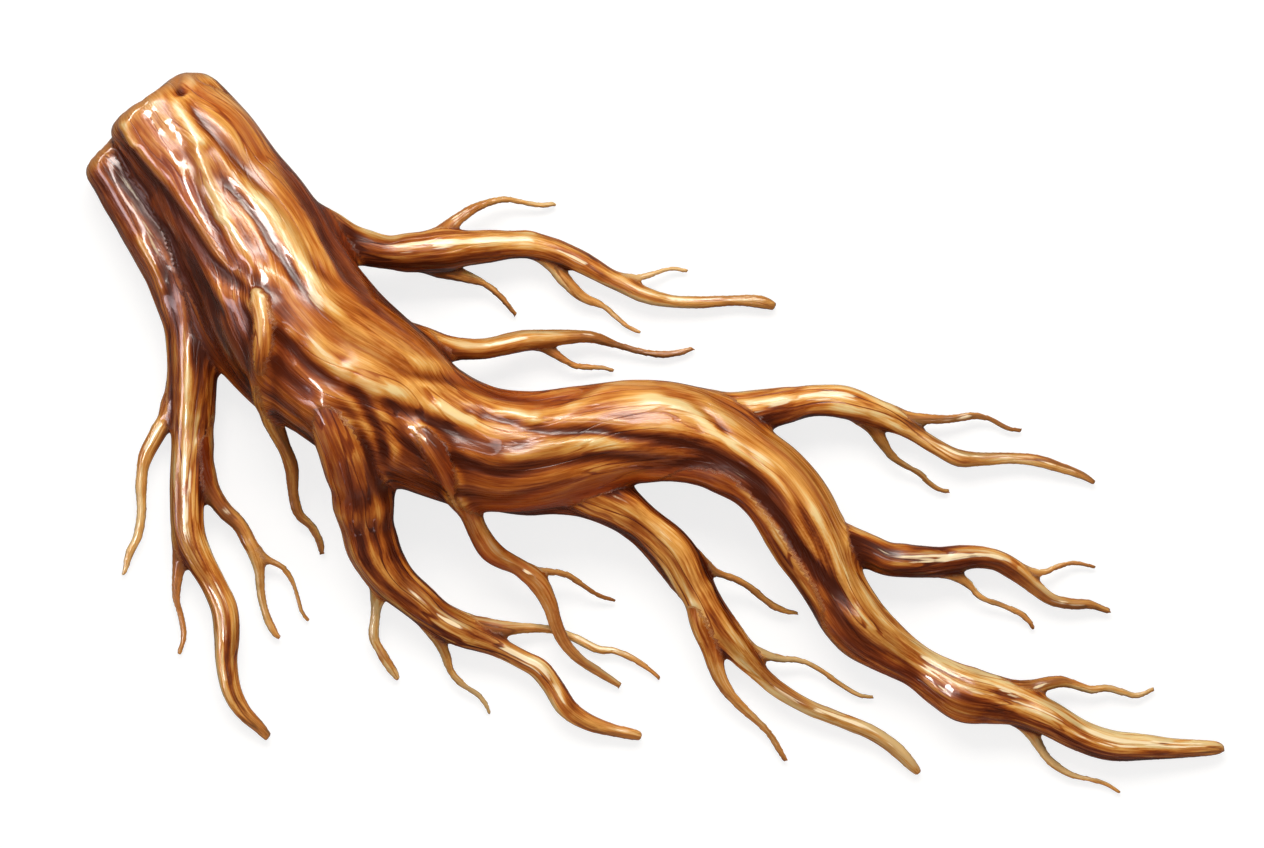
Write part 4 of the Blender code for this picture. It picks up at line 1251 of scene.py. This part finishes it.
class Tree:
    """The nodes of a material or a world, added by kind."""

    def __init__(self, owner: Union[bpy.types.Material, bpy.types.World], shader: str) -> None:
        """Turns the owner's nodes on, and finds its shader among them."""
        owner.use_nodes = True
        self.nodes = owner.node_tree.nodes
        self.links = owner.node_tree.links
        self.shader = self.nodes[shader]

    def add(self, kind: str, settings: dict[str, Any], inputs: dict[Any, Any], output: Any = 0) -> Socket:
        """Adds a node.

        Args:
            kind: The node's type.
            settings: Its settings, set before its sockets; stops is a colour ramp's list of place and colour.
            inputs: The values or links of its sockets.
            output: The socket to return.

        Returns:
            The chosen output.
        """
        node = self.nodes.new(kind)
        for name, value in settings.items():
            if name == "stops":
                self._set_stops(node.color_ramp, value)
            else:
                setattr(node, name, value)
        for key, value in inputs.items():
            self.feed(node.inputs[key], value)
        return Socket(self, node.outputs[output])

    def feed(self, socket: bpy.types.NodeSocket, value: Any) -> None:
        """Links or sets one input."""
        if isinstance(value, Socket):
            self.links.new(value.link, socket)
        else:
            socket.default_value = value

    def dress(self, values: dict[str, Any]) -> None:
        """Links or sets the named sockets of the shader."""
        for name, value in values.items():
            self.feed(self.shader.inputs[name], value)

    @staticmethod
    def _set_stops(ramp: bpy.types.ColorRamp, stops: Sequence[tuple[float, Colour]]) -> None:
        """Gives a ramp its stops."""
        while len(ramp.elements) > 1:
            ramp.elements.remove(ramp.elements[-1])
        for number, (place, colour) in enumerate(stops):
            element = ramp.elements[0] if number == 0 else ramp.elements.new(place)
            element.position = place
            element.color = colour

    def mark(self, name: str) -> Socket:
        """A number stored on the mesh."""
        return self.add("ShaderNodeAttribute", {"attribute_name": name}, {}, "Fac")

    def vector(self, name: str) -> Socket:
        """A vector stored on the mesh."""
        return self.add("ShaderNodeAttribute", {"attribute_name": name}, {}, "Vector")

    def strands(self, grain: Socket, strand: "Strand") -> Socket:
        """Noise from 0 to 1, drawn out along the grain."""
        scale = (strand.along, strand.across, strand.across)
        place = self.add("ShaderNodeVectorMath", {"operation": "MULTIPLY"}, {0: grain, 1: scale}, "Vector")
        inputs = {"Vector": place, "Scale": 1.0, "Detail": strand.detail, "Roughness": strand.roughness}
        return self.add("ShaderNodeTexNoise", {}, inputs, "Fac")

    def mix(self, share: Operand, first: Any, second: Any) -> Socket:
        """Two colours mixed."""
        settings = {"data_type": "RGBA", "blend_type": "MIX", "clamp_result": True}
        return self.add("ShaderNodeMix", settings, {0: share, 6: first, 7: second}, 2)

    def ramp(self, value: Socket, stops: Sequence[tuple[float, Colour]]) -> Socket:
        """A colour ramp."""
        return self.add("ShaderNodeValToRGB", {"stops": stops}, {0: value}, "Color")


def srgb(code: str) -> Colour:
    """A screen colour such as B06826 as linear light, fully opaque."""
    parts = [int(code[i : i + 2], 16) / 255 for i in (0, 2, 4)]
    return (*(p / 12.92 if p <= 0.04045 else ((p + 0.055) / 1.055) ** 2.4 for p in parts), 1.0)


@dataclass(frozen=True)
class Strand:
    """The make of a noise that is drawn out along the grain.

    Args:
        along: How often it changes in a metre along the grain.
        across: How often it changes in a metre across the grain.
        detail: How many finer layers it has.
        roughness: How strong the finer layers are.
    """

    along: float
    across: float
    detail: float = 2.0
    roughness: float = 0.5


@dataclass(frozen=True)
class Wash:
    """A thin layer of colour.

    Args:
        colour: Its colour.
        share: How much of what lies under it, it hides at most.
    """

    colour: str
    share: float


@dataclass(frozen=True)
class BarkFinish:
    """Glossy washed bark: honey brown, darker along the grain, with painted shade in the creases and hollows
    and pale painted highlights, paler at the tips.

    Args:
        shades: The bark's colours from the darkest tone to the palest, and the place of each on the ramp.
        rust, tip, crease_shade, hollow_shade, painted_highlight, cut: The washes laid over them, from the
        first to the last; the middle three are painted shade and a painted highlight.
        roughness, coat_roughness: How dull the bark and its wet coat are.
        coat_ior, specular: How much the coat and the bark under it reflect.
        streaks, hairs, blotch: The noises that make the wood's figure.
        threads: The noise whose middle line makes thin dark threads.
        rust_flow, highlight_flecks, dashes: Where the rust lies, where the painted highlight's flecks lie,
            and where the coat is whole.
    """

    shades: tuple[tuple[float, str], ...] = (
        (0.0, "4E1C08"), (0.27, "883C11"), (0.48, "BE661F"), (0.75, "EDA950"), (1.0, "FADC9C"),
    )
    rust: Wash = Wash("B4460C", 0.42)
    tip: Wash = Wash("D69C58", 0.45)
    # Dark brown painted shade in the creases and in the hollows.
    crease_shade: Wash = Wash("451806", 0.55)
    hollow_shade: Wash = Wash("451806", 0.5)
    # Pale cream painted highlight.
    painted_highlight: Wash = Wash("FFE9BE", 0.92)
    cut: Wash = Wash("B77A45", 0.9)
    roughness: float = 0.28
    coat_roughness: float = 0.03
    coat_ior: float = 1.6
    specular: float = 0.18
    streaks: Strand = Strand(38.0, 520.0, 4.0, 0.6)
    hairs: Strand = Strand(90.0, 1900.0, 3.0, 0.6)
    blotch: Strand = Strand(22.0, 90.0)
    threads: Strand = Strand(26.0, 300.0, 1.0, 0.4)
    rust_flow: Strand = Strand(13.0, 55.0)
    highlight_flecks: Strand = Strand(58.0, 800.0)
    dashes: Strand = Strand(120.0, 420.0)

    def material(self) -> bpy.types.Material:
        """Makes the bark's material.

        Returns:
            The material, which reads the marks that the skin stores.
        """
        material = bpy.data.materials.new("root_bark")
        tree = Tree(material, "Principled BSDF")
        grain = tree.vector("grain")
        streaks = tree.strands(grain, self.streaks)
        hairs = tree.strands(grain, self.hairs)
        blotch = tree.strands(grain, self.blotch)
        off_line = tree.strands(grain, self.threads) - 0.5
        thread = 1.0 - (off_line * off_line).between(0.0, 0.0006)
        dashes = tree.strands(grain, self.dashes).between(0.4, 0.54)
        rough = (hairs - 0.5) * 0.2 + (blotch - 0.5) * 0.15 + self.roughness
        height = streaks * 0.7 + hairs * 0.2 - thread * 0.3
        bump = {"Strength": 0.5, "Distance": 0.0005, "Height": height}
        tree.dress({
            "Base Color": self._colour(tree, grain, streaks, hairs, blotch, thread),
            "Roughness": rough.clamped(),
            "Normal": tree.add("ShaderNodeBump", {}, bump, "Normal"),
            "Coat Weight": (dashes * 0.85 + 0.15) * tree.mark("shine"),
            "Coat Roughness": self.coat_roughness,
            "Coat IOR": self.coat_ior,
            "Specular IOR Level": self.specular,
        })
        return material

    def _colour(
        self, tree: Tree, grain: Socket, streaks: Socket, hairs: Socket, blotch: Socket, thread: Socket
    ) -> Socket:
        """The bark's colour: a ramp over its tone, then one thin wash of colour over another.

        The tone is the stored one, plus the streaks (stronger on a slim root), hairs and blotches about their
        middles, minus the painted shade of the hollows and the threads.

        Args:
            tree: The bark's nodes.
            grain: The bark coordinates.
            streaks: Its streaks, from 0 to 1.
            hairs: Its fine hairs, from 0 to 1.
            blotch: Its blotches, from 0 to 1.
            thread: 1 on a thin dark thread and 0 off it.

        Returns:
            The colour.
        """
        hollow_shade, slim, painted_highlight = tree.mark("hollow_shade"), tree.mark("slim"), tree.mark("painted_highlight")
        lines = thread * (blotch - 0.35).between(0.0, 0.3) * (slim * 0.25 + 0.3)
        depth = tree.mark("tone") + (streaks - 0.5) * (slim * 1.6 + 1.0) + (hairs - 0.5) * 0.7
        # The hollows' painted shade is taken off the tone.
        depth = depth + (blotch - 0.5) * 0.6 - hollow_shade * 0.5 - lines
        rust = tree.strands(grain, self.rust_flow).between(0.5, 0.72)
        # Painted highlight: pale cream flecks along the grain, where the skin faces the highlight side.
        highlight_fleck = (tree.strands(grain, self.highlight_flecks) + painted_highlight * 0.2 - 0.2).between(0.46, 0.53)
        colour = tree.ramp((depth * 0.82).clamped(), [(place, srgb(shade)) for place, shade in self.shades])
        for where, wash in (
            (rust, self.rust),
            (tree.mark("pale"), self.tip),
            # Painted shade in creases and hollows, then the painted highlight.
            (tree.mark("crease_shade"), self.crease_shade),
            ((hollow_shade - 0.15).between(0.1, 1.0), self.hollow_shade),
            (highlight_fleck * painted_highlight.between(0.1, 0.6), self.painted_highlight),
            (tree.mark("cut"), self.cut),
        ):
            colour = tree.mix(where * wash.share, colour, srgb(wash.colour))
        return colour


@dataclass(frozen=True)
class FloorFinish:
    """Plain pale floor, which throws little light back at the root.

    Args:
        shade: Its shade where the camera sees it.
        shade_for_bounces: Its shade for the light that it throws back.
        glow: How much it lights itself where the camera sees it.
    """

    shade: float = 0.3
    shade_for_bounces: float = 0.2
    glow: float = 0.78

    def material(self) -> bpy.types.Material:
        """Makes the floor's material.

        Returns:
            The material.
        """
        material = bpy.data.materials.new("pale_floor")
        tree = Tree(material, "Principled BSDF")
        seen = tree.add("ShaderNodeLightPath", {}, {}, "Is Camera Ray")
        bounced, shown = ((shade, shade, shade, 1.0) for shade in (self.shade_for_bounces, self.shade))
        tree.dress({
            "Base Color": tree.mix(seen, bounced, shown),
            "Roughness": 0.95,
            "Specular IOR Level": 0.0,
            "Emission Color": (1.0, 1.0, 1.0, 1.0),
            "Emission Strength": seen * self.glow,
        })
        return material


class Rays(Enum):
    """What a light is there for."""

    SHADING = "diffuse"
    HIGHLIGHTS = "glossy"


@dataclass(frozen=True)
class Lamp:
    """An oval light that faces the middle of the view.

    Args:
        name: The light's name.
        place: Where it is from that middle: to the camera's right, up and overhead, in metres.
        size: Its two diameters, in metres.
        power: Its power, in watts.
        colour: Its colour.
        rays: What it is there for.
    """

    name: str
    place: tuple[float, float, float]
    size: tuple[float, float]
    power: float
    colour: tuple[float, float, float]
    rays: Rays


KEY_PLACE = (-0.04, 0.62, 0.75)
LOW_PLACE = (0.0, -1.0, 0.16)
LAMPS = (
    Lamp("key", KEY_PLACE, (0.9, 0.4), 8.6, (1.0, 0.95, 0.88), Rays.SHADING),
    Lamp("strip", KEY_PLACE, (0.9, 0.26), 42.0, (1.0, 0.96, 0.9), Rays.HIGHLIGHTS),
    Lamp("left", (-0.46, 0.06, 0.9), (0.9, 0.22), 15.0, (1.0, 0.97, 0.93), Rays.HIGHLIGHTS),
    Lamp("rim", (-1.0, -0.25, 0.42), (0.9, 0.26), 6.0, (1.0, 0.86, 0.92), Rays.HIGHLIGHTS),
    Lamp("brim", (-0.87, 0.5, 0.38), (0.7, 0.16), 5.0, (1.0, 0.96, 0.9), Rays.HIGHLIGHTS),
    Lamp("top", (0.1, 0.12, 1.0), (0.6, 0.14), 0.8, (1.0, 0.97, 0.96), Rays.HIGHLIGHTS),
    Lamp("low", LOW_PLACE, (0.9, 0.24), 2.5, (1.0, 0.87, 0.76), Rays.SHADING),
    Lamp("underglow", LOW_PLACE, (1.2, 0.14), 0.8, (1.0, 0.8, 0.86), Rays.HIGHLIGHTS),
)


@dataclass
class Studio:
    """The pale floor, the soft lights and the camera.

    Args:
        aim: Where the camera looks, in metres.
        roll: Turn of the camera's upward direction from +Y, in radians.
        lens: The camera's focal length, in millimetres.
        distance: The camera's height over the floor, in metres.
        floor_size: Length of the floor's side, in metres.
        room_light: How bright the room is.
        room_glints: How bright the room is in reflections.
    """

    aim: tuple[float, float] = (-0.0094, 0.0333)
    roll: float = math.radians(30)
    lens: float = 200.0
    distance: float = 1.7556
    floor_size: float = 6.0
    room_light: float = 0.37
    room_glints: float = 0.05

    def build(self) -> None:
        """Makes everything that isn't the object."""
        self._floor()
        self._room()
        up = Vector((-math.sin(self.roll), math.cos(self.roll), 0.0))
        right = Vector((math.cos(self.roll), math.sin(self.roll), 0.0))
        overhead = Vector((0.0, 0.0, 1.0))
        centre = Vector((*self.aim, 0.0))
        for lamp in LAMPS:
            sideways, upwards, above = lamp.place
            self._light(lamp, centre + right * sideways + up * upwards + overhead * above, centre)
        self._camera(centre, up)

    def _floor(self) -> None:
        """A square of floor at the height that the root lies on."""
        half = self.floor_size / 2
        corners = [(-half, -half, 0), (half, -half, 0), (half, half, 0), (-half, half, 0)]
        mesh = bpy.data.meshes.new("floor")
        mesh.from_pydata(corners, [], [(0, 1, 2, 3)])
        mesh.materials.append(FloorFinish().material())
        floor = bpy.data.objects.new("floor", mesh)
        bpy.context.collection.objects.link(floor)

    def _room(self) -> None:
        """Even pale light from everywhere, dimmer in reflections."""
        world = bpy.data.worlds.new("pale_room")
        tree = Tree(world, "Background")
        mirrored = tree.add("ShaderNodeLightPath", {}, {}, "Is Glossy Ray")
        levels = {"Value": mirrored, "To Min": self.room_light, "To Max": self.room_glints}
        strength = tree.add("ShaderNodeMapRange", {}, levels)
        tree.dress({"Color": (1.0, 0.98, 0.96, 1.0), "Strength": strength})
        bpy.context.scene.world = world

    @staticmethod
    def _light(lamp: Lamp, place: Vector, target: Vector) -> None:
        """Sets up one lamp.

        Args:
            lamp: The lamp.
            place: Where it is.
            target: Where it faces.
        """
        data = bpy.data.lights.new(lamp.name, "AREA")
        data.shape = "ELLIPSE"
        data.size, data.size_y = lamp.size
        data.energy = lamp.power
        data.color = lamp.colour
        light = bpy.data.objects.new(lamp.name, data)
        light.location = place
        light.rotation_euler = (target - place).to_track_quat("-Z", "Y").to_euler()
        light.visible_diffuse = lamp.rays is Rays.SHADING
        light.visible_glossy = lamp.rays is Rays.HIGHLIGHTS
        bpy.context.collection.objects.link(light)

    def _camera(self, centre: Vector, up: Vector) -> None:
        """A camera straight above, turned so that the crown is at the upper left.

        Args:
            centre: The point of the floor that it looks at.
            up: Its upward direction.
        """
        data = bpy.data.cameras.new("camera")
        data.lens = self.lens
        data.sensor_width = 36.0
        data.clip_start, data.clip_end = 0.05, 20.0
        camera = bpy.data.objects.new("camera", data)
        right = up.cross(Vector((0.0, 0.0, 1.0)))
        camera.matrix_world = Matrix(
            (
                (right.x, up.x, 0.0, centre.x),
                (right.y, up.y, 0.0, centre.y),
                (0.0, 0.0, 1.0, self.distance),
                (0.0, 0.0, 0.0, 1.0),
            )
        )
        bpy.context.collection.objects.link(camera)
        bpy.context.scene.camera = camera


def main() -> None:
    """Builds the root's skin and the studio."""
    logging.basicConfig(level=logging.INFO, format="%(name)s: %(message)s")
    bpy.context.scene.view_settings.view_transform = "Standard"
    skin = RootSkin(COURSES).build()
    skin.data.materials.append(BarkFinish().material())
    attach(skin, BODY)
    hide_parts("root")
    LOG.info("root_skin: %d faces", len(skin.data.polygons))
    Studio().build()


if __name__ == "__main__":
    main()
